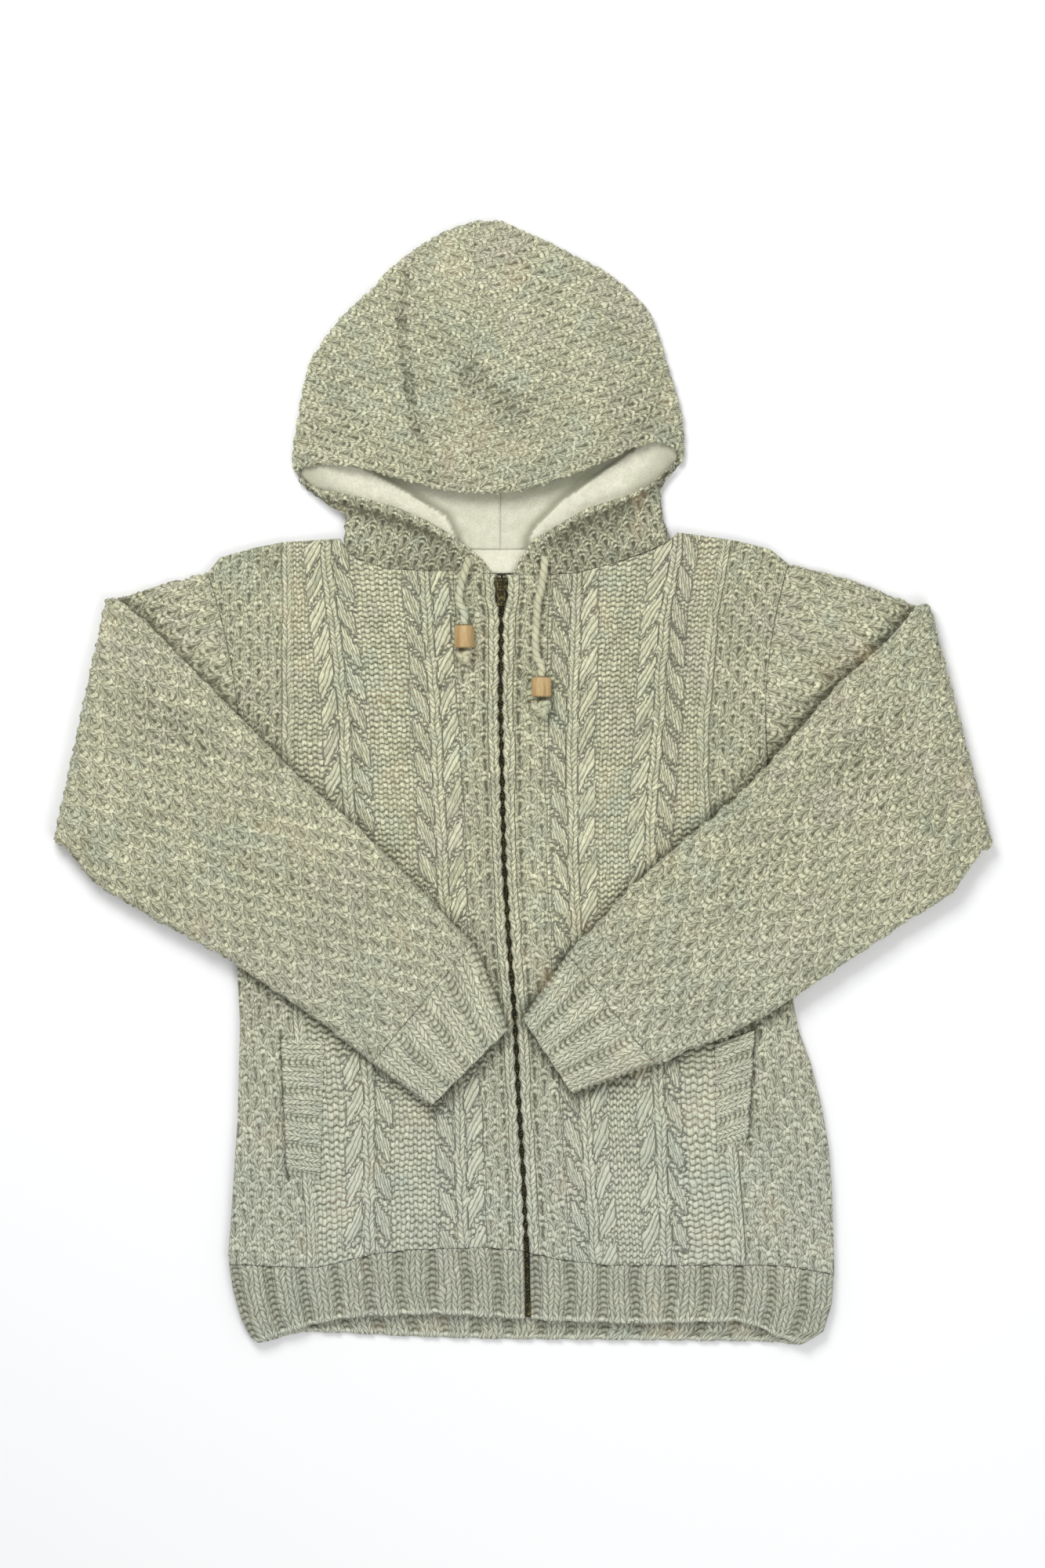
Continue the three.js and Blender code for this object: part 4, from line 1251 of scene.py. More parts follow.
        ground = knitted(u, v, kind, STITCH, 5.0, seed)
        in_moss = (u < 0) | ((u >= self.band_at) & (u < self.edge_at))
        ground.style = np.where(in_moss, MOSS, ground.style)
        rise = np.zeros_like(u)
        for at, lift in zip(knit_columns, (RIB_RISE, STEM_RISE, STEM_RISE)):
            off = np.abs(u - at - 0.5)
            rise += lift * smooth((0.62 - off) / 0.18) - 0.9 * np.exp(-(((off - 0.72) / 0.16) ** 2))
        bumps = np.abs(np.sin(np.pi * v / 2)) ** 0.6 * smooth((u - 21.75) / 0.3)
        groove = -1.1 * np.exp(-(((u - 21.62) / 0.13) ** 2))
        ground.height = ground.height + rise + groove + 0.9 * bumps - 0.4 * smooth((u - 21.75) / 0.2)
        # Painted shade in the groove beside the chain at the zip.
        ground.gap = np.clip(ground.gap + 0.55 * np.exp(-(((u - 21.62) / 0.12) ** 2)), 0, 1)
        plain = self.under_welt(x, y)
        for column, out in ((2, True), (3, False)):
            branch = self.branches(x, y, level, column, out)
            branch.height = branch.height - 3.0 * plain
            ground = branch.over(ground)
        return ground

    def under_welt(self, x: Array, y: Array) -> Array:
        """Where the pocket welt lies.

        Args:
            x: Places across.
            y: Places up.

        Returns:
            1 under it, and 0 elsewhere.
        """
        top_outer, top_inner, low_outer, _ = CUTS[self.side].welt
        s = self.side.sign
        across = np.minimum(s * x - s * top_inner[0] + 6, s * top_outer[0] + 9 - s * x)
        up = np.minimum(top_outer[1] + 12 - y, y - low_outer[1] + 12)
        return smooth(np.minimum(across, up) / 5)

    def branches(self, x: Array, y: Array, level: Array, column: int, out: bool) -> Relief:
        """Branches on both sides of a stem: ropes of strands, steep in those that fall to the left of view.

        Args:
            x: Places across.
            y: Places up.
            level: Heights over the hem's seam.
            column: Column of the table that has the stem.
            out: Whether the branches fall away from the stem, or come down to it.

        Returns:
            Their relief, far below the ground where there is none.
        """
        stem = read(CUTS[self.side].columns, y, column)
        d = np.abs(x - stem)
        fall = np.interp(d, (0, 6, 14, 26), (0, 0.35, 0.85, 1.3))
        if not out:
            fall = np.interp(d, (0, 6, 13, 25), (1.0, 0.65, 0.2, -0.3))
        hand = x > stem
        salt = scatter(np.floor(level / 200), hand.astype(float), 70 + column)
        phase = (branch_rows(level + BRANCH_DROP * fall) - 1) / 3 + 0.12 * (salt - 0.5)
        number = np.round(phase)
        pitch = np.interp(level, (FRONT_LOW, FRONT_TOP), (BRANCH_HEM_PITCH, BRANCH_TOP_PITCH))
        slope = BRANCH_DROP / 16
        one = scatter(number * 2 + hand, np.full_like(number, column), 71 + self.side.sign)
        b = (phase - number) * pitch / np.sqrt(1 + slope ** 2)
        b = b + 1.2 * (scatter(number, hand.astype(float), 73) - 0.5) + 0.9 * drift(x, y, 14, 8)
        a = (d - self.stem_width / 2 + 1.0) * np.sqrt(1 + slope ** 2) + 4.0 * (one - 0.5)
        half = self.branch_width / 2
        steep = hand == out
        lean = np.where(steep, 0.8, 0.16) * (1 if out else -1)
        column_b = np.where(steep, np.floor(b / half), 0.0)
        across = (b * np.cos(lean) + a * np.sin(lean)) / self.strand + one + 0.5 * column_b
        step = np.where(steep, b / half, a / 13 + 0.43 * np.floor(across) + one)
        end = np.abs(2 * (step - np.floor(step)) - 1)
        yarn = (1 - (2 * (across - np.floor(across)) - 1) ** 2) * (1 - 0.6 * end ** 4)
        crown = 1 - (b / (half * np.where(steep, 0.84 + 0.34 * yarn, 1.0))) ** 2
        ends = smooth((self.branch_length - a) / 5) * smooth((a + 2) / 4)
        high = 1.5 * yarn + (BRANCH_RISE + 0.2) * np.clip(crown, -1, 1) * ends - 1.6 * (1 - ends)
        high = np.where((np.abs(b) < 1.12 * half) & (a > -3) & (a < self.branch_length + 1), high, -9.0)
        edge = smooth((np.abs(b) / half - 0.9) / 0.25)
        # Painted shade between the strands and round the branch's edges.
        gap = np.clip(np.where(steep, 0.75, 0.5) * (1 - yarn) + 0.3 * edge, 0, 1)
        return Relief(high, gap, np.full(x.shape, BRAID), across + 64 * number, 0.5 + 0.47 * end)


@dataclass
class RibbedHem:
    """The ribbed band below the fronts or the back.

    Attributes:
        node: The node that it replaces.
        low_edge: Its lower edge.
        base: Height of its underside.
        wall: Its thickness without the ribs.
        ribs: How many ribs.
        half: The half that it belongs to, or None where it runs from side to side.
        flat: Width and length laid flat, in metres; not used.
        rests_on: Nodes that it lies on; not used.
    """

    node: str
    low_edge: Array
    base: float
    wall: float
    ribs: int
    half: Optional[Side]
    flat: tuple[float, float]
    rests_on: tuple[str, ...] = ()

    def limits(self, y: Array) -> tuple[Array, Array]:
        """The band's two ends.

        Args:
            y: Heights.

        Returns:
            Its first and its last x at those heights.
        """
        if self.half is Side.RIGHT:
            return side_x(Side.RIGHT, y), zip_x(Side.RIGHT, y)
        if self.half is Side.LEFT:
            return zip_x(Side.LEFT, y), side_x(Side.LEFT, y)
        return side_x(Side.RIGHT, y), side_x(Side.LEFT, y)

    def make(self, wardrobe: Wardrobe) -> Thing:
        """Builds the band.

        Args:
            wardrobe: The finishes.

        Returns:
            The piece.
        """
        level, share = grid_shares(44, self.ribs * 20 + 1)
        y = -430 + 40 * (level - 0.5)
        for _ in range(ROUNDS):
            first, last = self.limits(y)
            x = first + share * (last - first)
            low, high = read(self.low_edge, x), read(RIB_TOP, x) - HEM_GAP
            y = low + level * (high - low)
        u = 3 * self.ribs * share
        v = (y - low) / RIB_ROW
        u = u + 0.3 * drift(x, y, 46, 12) * np.minimum(1, 6 * share * (1 - share))
        relief = knitted(u, v + 0.3 * drift(x, y, 30, 13), is_rib, 9.0, RIB_ROW, 60 + self.ribs)
        rise = rib_rise(u / 3)
        chain = np.exp(-(((y - low - 1.6) / 2.0) ** 2))
        links = np.abs(np.sin(np.pi * u)) ** 0.5
        height = relief.height - 1.0 + RIB_RISE * rise - 0.8 * (1 - rise)
        height = height * (1 - chain) + chain * (0.2 + 0.9 * links + 0.6 * rise)
        # Painted shade over the whole band, stronger in the purl channels, and between the links of the
        # chain at its edge.
        relief.gap = np.clip(0.5 * relief.gap + 0.46 + 0.2 * (1 - rise), 0, 1.1)
        relief.gap = relief.gap * (1 - chain) + chain * 0.5 * (1 - links)
        edge = np.minimum(np.minimum(x - first, last - x), y - low).clip(0, RIM)
        drop = rounding(edge)
        tuck = 1.8 * np.exp(-(((high - y) / 4.0) ** 2))
        y = y - (1.3 * rise - 0.5 + 0.4 * links) * chain
        top = self.base + self.wall - drop - tuck * 0.6 + height * smooth(edge / RIM + 0.25)
        top = top + 0.5 * drift(x, y, 40, 15)
        points = np.stack([x, y, np.maximum(top, self.base + 0.8)], -1)
        piece = shell(f"{self.node}_knit", wardrobe.wool, points, self.base, relief, 6, UNDER_INSET)
        return dress(piece, self.node)


@dataclass
class Back:
    """The back, plain knit, which lies on the surface.

    Attributes:
        spacing: Distance between its points.
    """

    spacing: float = 5.0

    def make(self, wardrobe: Wardrobe) -> Thing:
        """Builds the back.

        Args:
            wardrobe: The finishes.

        Returns:
            The piece.
        """
        level, share = grid_shares(int(580 / self.spacing), int(490 / self.spacing))
        y = FRONT_LOW + level * (FRONT_TOP - FRONT_LOW)
        for _ in range(ROUNDS):
            first, last = side_x(Side.RIGHT, y), side_x(Side.LEFT, y)
            x = first + share * (last - first)
            low, high = read(RIB_TOP, x), read(TOP_EDGE, x)
            y = low + level * (high - low)
        drop = rounding(np.minimum(np.minimum(x - first, last - x), np.minimum(y - low, high - y)))
        points = np.stack([x, y, WALL - drop], -1)
        piece = shell("back_knit", wardrobe.wool, points, drop * 0.6)
        return dress(piece, "back")


@dataclass
class Welt:
    """A ribbed pocket welt, its ribs across the body.

    Attributes:
        side: Which half.
    """

    side: Side

    def make(self, wardrobe: Wardrobe) -> Thing:
        """Builds the welt.

        Args:
            wardrobe: The finishes.

        Returns:
            The piece.
        """
        top_outer, top_inner, low_outer, low_inner = CUTS[self.side].welt
        length = float(np.linalg.norm(top_outer - low_outer))
        width = float(np.linalg.norm(top_outer - top_inner))
        ribs = round(length / WELT_RIB_PITCH)
        rows, columns = ribs * 18 + 1, 28
        share, out = grid_shares(rows, columns)
        low = low_inner + (low_outer - low_inner) * out[..., None]
        high = top_inner + (top_outer - top_inner) * out[..., None]
        flat = low + (high - low) * share[..., None]
        u, v = 3 * ribs * share, out * width / 5.0
        relief = knitted(u + 0.06 * drift(flat[..., 0], flat[..., 1], 20, 3), v, is_rib, 7.3, 5.0, 80)
        rise = rib_rise(u / 3)
        chain = np.exp(-((((1 - out) * width - 1.5) / 1.8) ** 2))
        links = np.abs(np.sin(np.pi * u)) ** 0.5
        height = relief.height - 0.9 + RIB_RISE * rise - 0.7 * (1 - rise)
        height = height * (1 - chain) + chain * (0.1 + 0.9 * links + 0.5 * rise)
        # Painted shadow beside the folded sleeve's edge, and painted shade in the purl channels.
        shadow = tucked(self.side, flat[..., 0], flat[..., 1])
        relief.gap = np.clip(0.6 * relief.gap + 0.4 * (1 - rise) + 0.6 * shadow, 0, 1)
        edge = np.minimum(np.minimum(share, 1 - share) * length, np.minimum(out, 1 - out) * width)
        edge = edge.clip(0, RIM)
        drop = rounding(edge, RIM, 1.5)
        base = FRONT_BASE + WALL + GAP
        flat = flat + np.stack([self.side.sign * (0.9 * rise - 0.4) * chain, np.zeros_like(chain)], -1)
        sewn = np.minimum(out * width, np.minimum(share, 1 - share) * length)
        thick = 0.9 + 2.1 * smooth(sewn / 13)
        height = height * (0.35 + 0.65 * smooth(sewn / 6))
        top = base + thick - drop + height * smooth(edge / RIM + 0.2)
        points = np.concatenate([flat, top[..., None]], -1)
        weaver = Weaver()
        face = weaver.grid(points, relief)
        pick_r, pick_c = thinned(rows, 6), thinned(columns, 6)
        under = points[np.ix_(pick_r, pick_c)].copy()
        under[..., 2] = base
        middle = under.mean((0, 1))
        under[..., :2] = middle[:2] + (under[..., :2] - middle[:2]) * np.array([0.93, 0.975])
        weaver.close(face, weaver.grid(under))
        piece = weaver.build(f"pocket_welt_{self.side.word}_knit", wardrobe.wool)
        f"front_{self.side.word}"
        return dress(piece, f"pocket_welt_{self.side.word}")


# ---- sleeves ----
SLEEVE_FOLDS = {
    Side.RIGHT: [
        (-340, -40, -262, -66, 16, 1.5), (-322, 80, -246, 18, 13, -2.0),
        (-250, -40, -170, -100, 18, -1.3), (-318, 118, -236, 44, 9, 1.2),
        (-225, -120, -130, -160, 13, 1.2), (-160, -70, -95, -130, 12, 1.0),
        (-300, 60, -295, -30, 20, -1.2),
    ],
    Side.LEFT: [
        (345, -30, 262, -70, 16, 1.5), (318, 60, 258, 0, 14, -1.8), (240, -30, 165, -95, 18, -1.3),
        (300, 104, 232, 36, 9, 1.2),
        (225, -130, 130, -180, 13, 1.2), (160, -70, 95, -120, 12, 1.0), (300, 60, 292, -40, 20, -1.2),
    ],
}


@dataclass
class Run:
    """Cross-sections of a flattened tube, from its seam to its mouth.

    Attributes:
        side: Which half.
        at: Distance of each cross-section along the tube.
        upper: The upper end of each.
        lower: The lower end.
        bow: Sideways bow.
        base: Height of the underside of the folded run.
        roll: How far it has turned over, in radians.
    """

    side: Side
    at: Array
    upper: Array
    lower: Array
    bow: Array
    base: Array
    roll: Array

    def place(self, at: Array, share: Array, height: Array) -> Array:
        """Points of the tube.

        Args:
            at: Distances along it.
            share: Shares from the upper to the lower end.
            height: Heights over the tube's first side.

        Returns:
            The points.
        """
        def along(table: Array) -> Array:
            """A table read at the distances."""
            return np.interp(at, self.at, table)

        ux, uy, lx, ly = (along(t[:, k]) for t in (self.upper, self.lower) for k in (0, 1))
        long = np.hypot(lx - ux, ly - uy)
        s = self.side.sign
        away_x, away_y = -(ly - uy) / long * s, (lx - ux) / long * s
        reach = TUBE + FOLD_GAP / 2 - height
        roll = along(self.roll)
        aside = reach * np.sin(roll)
        x = ux + (lx - ux) * share + along(self.bow) * 4 * share * (1 - share) + away_x * aside
        y = uy + (ly - uy) * share + away_y * aside
        lifted = (along(self.base) - TUBE - FOLD_GAP) * smooth(roll / np.pi)
        return np.stack([x, y, TUBE + FOLD_GAP / 2 - reach * np.cos(roll) + lifted], -1)

    def laid_out(self, at: Array, share: Array, beyond: Array) -> tuple[Array, Array]:
        """Places on the cloth as if it lay flat past the fold.

        Args:
            at: Distances along the tube.
            share: Shares from the upper to the lower end.
            beyond: How much longer the cloth is there, below 0 at the upper end.

        Returns:
            Places across and up.
        """
        ux, uy, lx, ly = (np.interp(at, self.at, t[:, k]) for t in (self.upper, self.lower) for k in (0, 1))
        long = np.hypot(lx - ux, ly - uy)
        dx, dy = (lx - ux) / long, (ly - uy) / long
        roll = np.interp(at, self.at, self.roll)
        aside = np.where(roll > 0, (np.pi - roll) * (TUBE + FOLD_GAP / 2), 0.0) * self.side.sign
        return (ux + (lx - ux) * share + dx * beyond - dy * aside,
                uy + (ly - uy) * share + dy * beyond + dx * aside)

    def chord(self, at: Array) -> Array:
        """Width of the flattened tube at distances along it."""
        wide = np.linalg.norm(self.lower - self.upper, axis=1)
        return np.interp(at, self.at, wide)


def ring_places(chord: Array, first: int, arc: int, second: int, low: float, high: float,
                inset: float = 0.0) -> tuple[Array, Array, Array]:
    """Places round a flattened ring: first side, lower end, second side, upper end.

    Args:
        chord: Width of each ring, one for each row.
        first: Points on the first side.
        arc: Points round each end.
        second: Points on the second side.
        low: Height of the first side.
        high: Height of the second side.
        inset: How far the ring stops short of the chord's ends.

    Returns:
        Share along the chord, height, and how much longer the cloth is than it looks from above,
        by row and point, the last of these below 0 at the upper end.
    """
    radius = (high - low) / 2
    rows = len(chord)
    reach = (inset + radius) / chord[:, None]
    flat = np.linspace(0, 1, first)[None, :]
    turned = np.linspace(1, 0, second)[None, :]
    angle = np.linspace(-np.pi / 2, np.pi / 2, arc + 2)[1:-1][None, :]
    end = (inset + radius - radius * np.cos(angle)) / chord[:, None]
    bend = np.broadcast_to(low + radius + radius * np.sin(angle), (rows, arc))
    left = np.pi / 2 - np.abs(angle)
    longer = np.broadcast_to(radius * (left - np.sin(left)), (rows, arc))
    share = np.concatenate(
        [reach + flat * (1 - 2 * reach), 1 - end, reach + turned * (1 - 2 * reach), end[:, ::-1]], 1)
    height = np.concatenate(
        [np.full((rows, first), low), bend, np.full((rows, second), high), bend[:, ::-1]], 1)
    beyond = np.concatenate(
        [np.zeros((rows, first)), longer, np.zeros((rows, second)), -longer[:, ::-1]], 1)
    return share, height, beyond


@dataclass
class Sleeve:
    """A moss-stitch sleeve, folded back over the front.

    Attributes:
        side: Which half.
        step: Distance between rows of points.
        dense: Points across a side that shows.
        coarse: Points across a side that is hidden.
        arc: Points round each end.
    """

    side: Side
    step: float = 1.38
    dense: int = 138
    coarse: int = 18
    arc: int = 11

    def run(self) -> tuple[Run, float]:
        """The sleeve's cross-sections and the distance at which it starts to fold."""
        cut = CUTS[self.side]
        top_x, top_y, low_x, low_y, bow = cut.armhole
        seam = SEAM_GAP * self.side.sign
        upper = [(top_x + seam, top_y), cut.middle[:2], cut.fold[:2], cut.fold[:2]]
        lower = [(low_x + seam, low_y), cut.middle[2:], cut.fold[2:], cut.fold[2:]]
        upper += [tuple(row[:2]) for row in cut.folded]
        lower += [tuple(row[2:4]) for row in cut.folded]
        up, lo = np.array(upper, float), np.array(lower, float)
        middle = (up + lo) / 2
        steps = np.linalg.norm(np.diff(middle, axis=0), axis=1)
        steps[2] = np.pi * (TUBE + FOLD_GAP / 2)
        at = np.concatenate([[0.0], np.cumsum(steps)])
        folded = len(cut.folded)
        bows = np.array([bow, bow / 2, 0, 0] + [0] * folded, float)
        base = np.array([TUBE + FOLD_GAP] * 4 + list(cut.folded[:, 4]))
        roll = np.array([0, 0, 0, np.pi] + [np.pi] * folded)
        return Run(self.side, at, up, lo, bows, base, roll), float(at[2])

    def make(self, wardrobe: Wardrobe) -> Thing:
        """Builds the sleeve.

        Args:
            wardrobe: The finishes.

        Returns:
            The piece.
        """
        run, fold_at = self.run()
        weaver = Weaver()
        near = np.arange(0, fold_at, self.step)
        far = np.linspace(fold_at, run.at[-1], int((run.at[-1] - fold_at) / self.step))
        first = self.outer(weaver, run, near, self.coarse, self.dense, (True, False))
        second = self.outer(weaver, run, far, self.dense, self.coarse, (False, True))
        weaver.join(first[-1], second[0])
        inner_at = np.concatenate([run.at[:2], np.linspace(fold_at, run.at[3], 7), run.at[4:]])
        inner_at[0], inner_at[-1] = 0.4, run.at[-1] - 0.4
        share, height, _ = ring_places(run.chord(inner_at), 11, 3, 11, WALL, TUBE - WALL, WALL)
        inner = weaver.grid(run.place(inner_at[:, None], share, height), around=True)
        weaver.join(inner[0], first[0])
        weaver.join(second[-1], inner[-1])
        piece = weaver.build(f"sleeve_{self.side.word}_knit", wardrobe.wool)
        f"front_{self.side.word}"
        return dress(piece, f"sleeve_{self.side.word}")

    def outer(self, weaver: Weaver, run: Run, at: Array, first: int, second: int,
              rounded: tuple[bool, bool]) -> Array:
        """Adds the knitted outside of a stretch of the sleeve.

        Args:
            weaver: Collects the mesh.
            run: The sleeve's cross-sections.
            at: Distances along it.
            first: Points across the first side.
            second: Points across the second side.
            rounded: Whether its start and its end are edges.

        Returns:
            The numbers of its points.
        """
        chord = run.chord(at)
        share, height, beyond = ring_places(chord, first, self.arc, second, 0.0, TUBE)
        points = run.place(at[:, None], share, height)
        normal = -normals(points, around=True)
        x, y = points[..., 0], points[..., 1]
        u, v = self.knitting(*run.laid_out(at[:, None], share, beyond), near=rounded[0])
        relief = knitted(
            u + 0.22 * drift(x, y, 34, 21), v + 0.3 * drift(x, y, 42, 22), is_moss, STITCH, ROW,
            90 + self.side.sign, MOSS)
        from_start = at[:, None] if rounded[0] else FAR
        sewn = np.minimum(from_start, run.at[-1] - at[:, None] if rounded[1] else FAR)
        lift = relief.height * (0.3 + 0.7 * smooth(sewn / 3.5)) - 0.9 - seam_valley(sewn, 0.7)
        over = points[..., 2] > TUBE + 3
        folds = soft_folds(x, y, SLEEVE_FOLDS[self.side])
        top = over & (height < TUBE / 2)
        lift = lift + np.where(top, folds + 0.7 * drift(x, y, 60, 23), 0.0)
        # Painted shade in the troughs of the folds.
        relief.gap = relief.gap + np.where(top, np.clip(-folds / 7, 0, 0.3), 0.0)
        if rounded[0]:
            # Painted shadow beside the edge of the folded run, where the cloth also dips.
            shadow = tucked(self.side, x, y, 11.0) * (height > TUBE / 2)
            relief.gap = relief.gap + 0.95 * shadow
            lift = lift - 2.2 * shadow
        hidden = (points[..., 2] < 3) | ((height > TUBE / 2) & (run_roll(run, at) > 2.0))
        lift = np.where(hidden, np.minimum(lift, 0.0) * 0.4, lift)
        points = points + normal * lift[..., None]
        points[..., 2] = np.maximum(points[..., 2], 0.0)
        return weaver.grid(points, relief, around=True)

    def knitting(self, x: Array, y: Array, near: bool) -> tuple[Array, Array]:
        """Stitches and rows, which go along the grain and are mirrored in the fold.

        Args:
            x: Places across on the cloth laid out.
            y: Places up.
            near: Whether the cloth lies between the armhole and the fold.

        Returns:
            Stitches across and rows along.
        """
        cut = CUTS[self.side]
        start = np.array(cut.fold[:2], float)
        grain = np.array(cut.grain)
        across = np.array([-grain[1], grain[0]])
        if near:
            fold = np.array(cut.fold[2:], float) - start
            fold /= np.linalg.norm(fold)
            grain, across = (2 * (d @ fold) * fold - d for d in (grain, across))
        x, y = x - start[0], y - start[1]
        return (x * across[0] + y * across[1]) / STITCH, (x * grain[0] + y * grain[1]) / ROW


def run_roll(run: Run, at: Array) -> Array:
    """How far the tube has turned over at distances along it, as a column."""
    return np.interp(at, run.at, run.roll)[:, None]


@dataclass
class Cuff:
    """A ribbed cuff.

    Attributes:
        side: Which half.
        ribs: Ribs across a side.
    """

    side: Side
    ribs: int = 4

    def make(self, wardrobe: Wardrobe) -> Thing:
        """Builds the cuff.

        Args:
            wardrobe: The finishes.

        Returns:
            The piece.
        """
        cut = CUTS[self.side]
        start_u, start_l = cut.folded[-1][:2], cut.folded[-1][2:4]
        end_u, end_l = np.array(cut.cuff_end[:2]), np.array(cut.cuff_end[2:])
        length = float(np.linalg.norm((end_u + end_l - start_u - start_l) / 2))
        at = np.array([0.0, length])
        run = Run(
            self.side, at, np.array([start_u, end_u]), np.array([start_l, end_l]), np.zeros(2),
            np.full(2, cut.folded[-1][4]), np.full(2, np.pi))
        rows = np.linspace(0.05, length, int(length / 1.3))
        share, height, _ = ring_places(run.chord(rows), 81, 9, 31, 0.0, TUBE)
        points = run.place(rows[:, None], share, height)
        normal = -normals(points, around=True)
        x, y = points[..., 0], points[..., 1]
        u = share * self.ribs * 3 + 0.35 + np.where(height > TUBE / 2, 60, 0)
        v = np.broadcast_to(rows[:, None] / RIB_ROW, u.shape)
        relief = knitted(u + 0.08 * drift(x, y, 22, 31), v + 0.15 * drift(x, y, 25, 32), is_rib, 8.8,
                         RIB_ROW, 120 + self.side.sign)
        rise = rib_rise((share * self.ribs * 3 + 0.35) / 3)
        left = length - rows[:, None]
        chain = np.exp(-(((left - 1.8) / 2.0) ** 2))
        links = np.abs(np.sin(np.pi * u)) ** 0.5
        lift = relief.height - 1.0 + 1.3 * rise - 1.3 * (1 - rise)
        lift = lift * (1 - chain) + chain * (0.1 + 0.8 * links + 0.8 * rise)
        # Painted shade in the purl channels.
        relief.gap = np.clip(0.7 * relief.gap + 0.42 * (1 - rise), 0, 1)
        lift = lift * (0.3 + 0.7 * smooth(rows[:, None] / 5)) - seam_valley(rows[:, None], 0.7)
        lift = lift - 1.4 * np.exp(-left / 1.4)
        lift = lift + 0.5 * drift(x, y, 34, 33) * (height < TUBE / 2)
        lift = np.where((height > TUBE / 2), np.minimum(lift, 0.2), lift)
        points = points + normal * lift[..., None]
        mouth = (end_u + end_l - start_u - start_l) / 2 / length
        points[..., :2] += mouth * ((1.2 * rise - 0.4) * chain)[..., None]
        weaver = Weaver()
        outer = weaver.grid(points, relief, around=True)
        inner_at = np.linspace(1.2, length - 0.8, 9)
        share, height, _ = ring_places(run.chord(inner_at), 17, 3, 17, 3.6, TUBE - 3.6, 3.6)
        inner = weaver.grid(run.place(inner_at[:, None], share, height), around=True)
        weaver.join(inner[0], outer[0])
        weaver.join(outer[-1], inner[-1])
        piece = weaver.build(f"cuff_{self.side.word}_knit", wardrobe.wool)
        f"front_{self.side.word}"
        return dress(piece, f"cuff_{self.side.word}")


# ---- the hood ----
HOOD_FOLDS = [
    (-97, 430, -101, 376, 4.5, -3.6), (-101, 392, -95, 318, 4.5, -3.8), (-95, 336, -88, 286, 5, -3.6),
    (-89, 302, -74, 244, 5, -3.2), (-67, 384, -67, 350, 6, -1.8), (-80, 372, -44, 334, 12, -1.9),
    (-50, 340, 6, 304, 15, -4.2), (-78, 420, -62, 330, 10, 1.4),
    (-150, 380, -128, 300, 14, 2.4), (40, 400, 78, 320, 18, 2.6),
    (-10, 440, 30, 380, 16, -1.8), (60, 330, 110, 300, 14, -2.2), (-75, 310, -62, 262, 12, 2.2),
    (-130, 330, -140, 280, 13, -2.4), (20, 290, 60, 275, 14, 2.0), (-86, 420, -84, 345, 6, 2.2),
]
EDGE_RADIUS = 5.5
HOOD_SEAM = 43.0
ZIP_MIDDLE = 19.0
HOOD_HEAD = 458


def hood_limits(y: Array) -> tuple[Array, Array]:
    """The hood's silhouette at a height."""
    return read(HOOD, y, 1), read(HOOD, y, 2)


def hood_top(x: Array, y: Array) -> Array:
    """Height of the hood's upper face: thin at its edge, raised over the mouth and in the crown.

    Args:
        x: Places across.
        y: Places up.

    Returns:
        The height.
    """
    low, high = hood_limits(y)
    edge = TUBE + 1.4 * smooth((y - 180) / 12)
    inside = smooth(np.minimum(x - low, high - x) / 48)
    mouth = 7 * smooth((y - 180) / 58) * (1 - 0.8 * smooth((y - 300) / 150))
    dome = 7 * np.clip(1 - ((x + 30) / 160) ** 2, 0, 1) * np.clip(1 - ((y - 305) / 155) ** 2, 0, 1)
    return edge + inside * (mouth + dome * smooth((y - 205) / 45))


def crown_height(flat: Array) -> Array:
    """Height of the crown with its folds, at places across and up."""
    x, y = flat[:, 0], flat[:, 1]
    return hood_top(x, y) + soft_folds(x, y, HOOD_FOLDS)


def coons(bottom: Array, top: Array, first: Array, last: Array) -> Array:
    """Fills four meeting lines with a grid of points.

    Args:
        bottom: The first row.
        top: The last row.
        first: The first column, from bottom to top.
        last: The last column.

    Returns:
        Rows of points.
    """
    p = np.linspace(0, 1, len(bottom))[None, :, None]
    r = np.linspace(0, 1, len(first))[:, None, None]
    rows = (1 - r) * bottom[None] + r * top[None]
    columns = (1 - p) * first[:, None] + p * last[:, None]
    corners = ((1 - p) * (1 - r) * bottom[0] + p * (1 - r) * bottom[-1]
               + (1 - p) * r * top[0] + p * r * top[-1])
    return rows + columns - corners


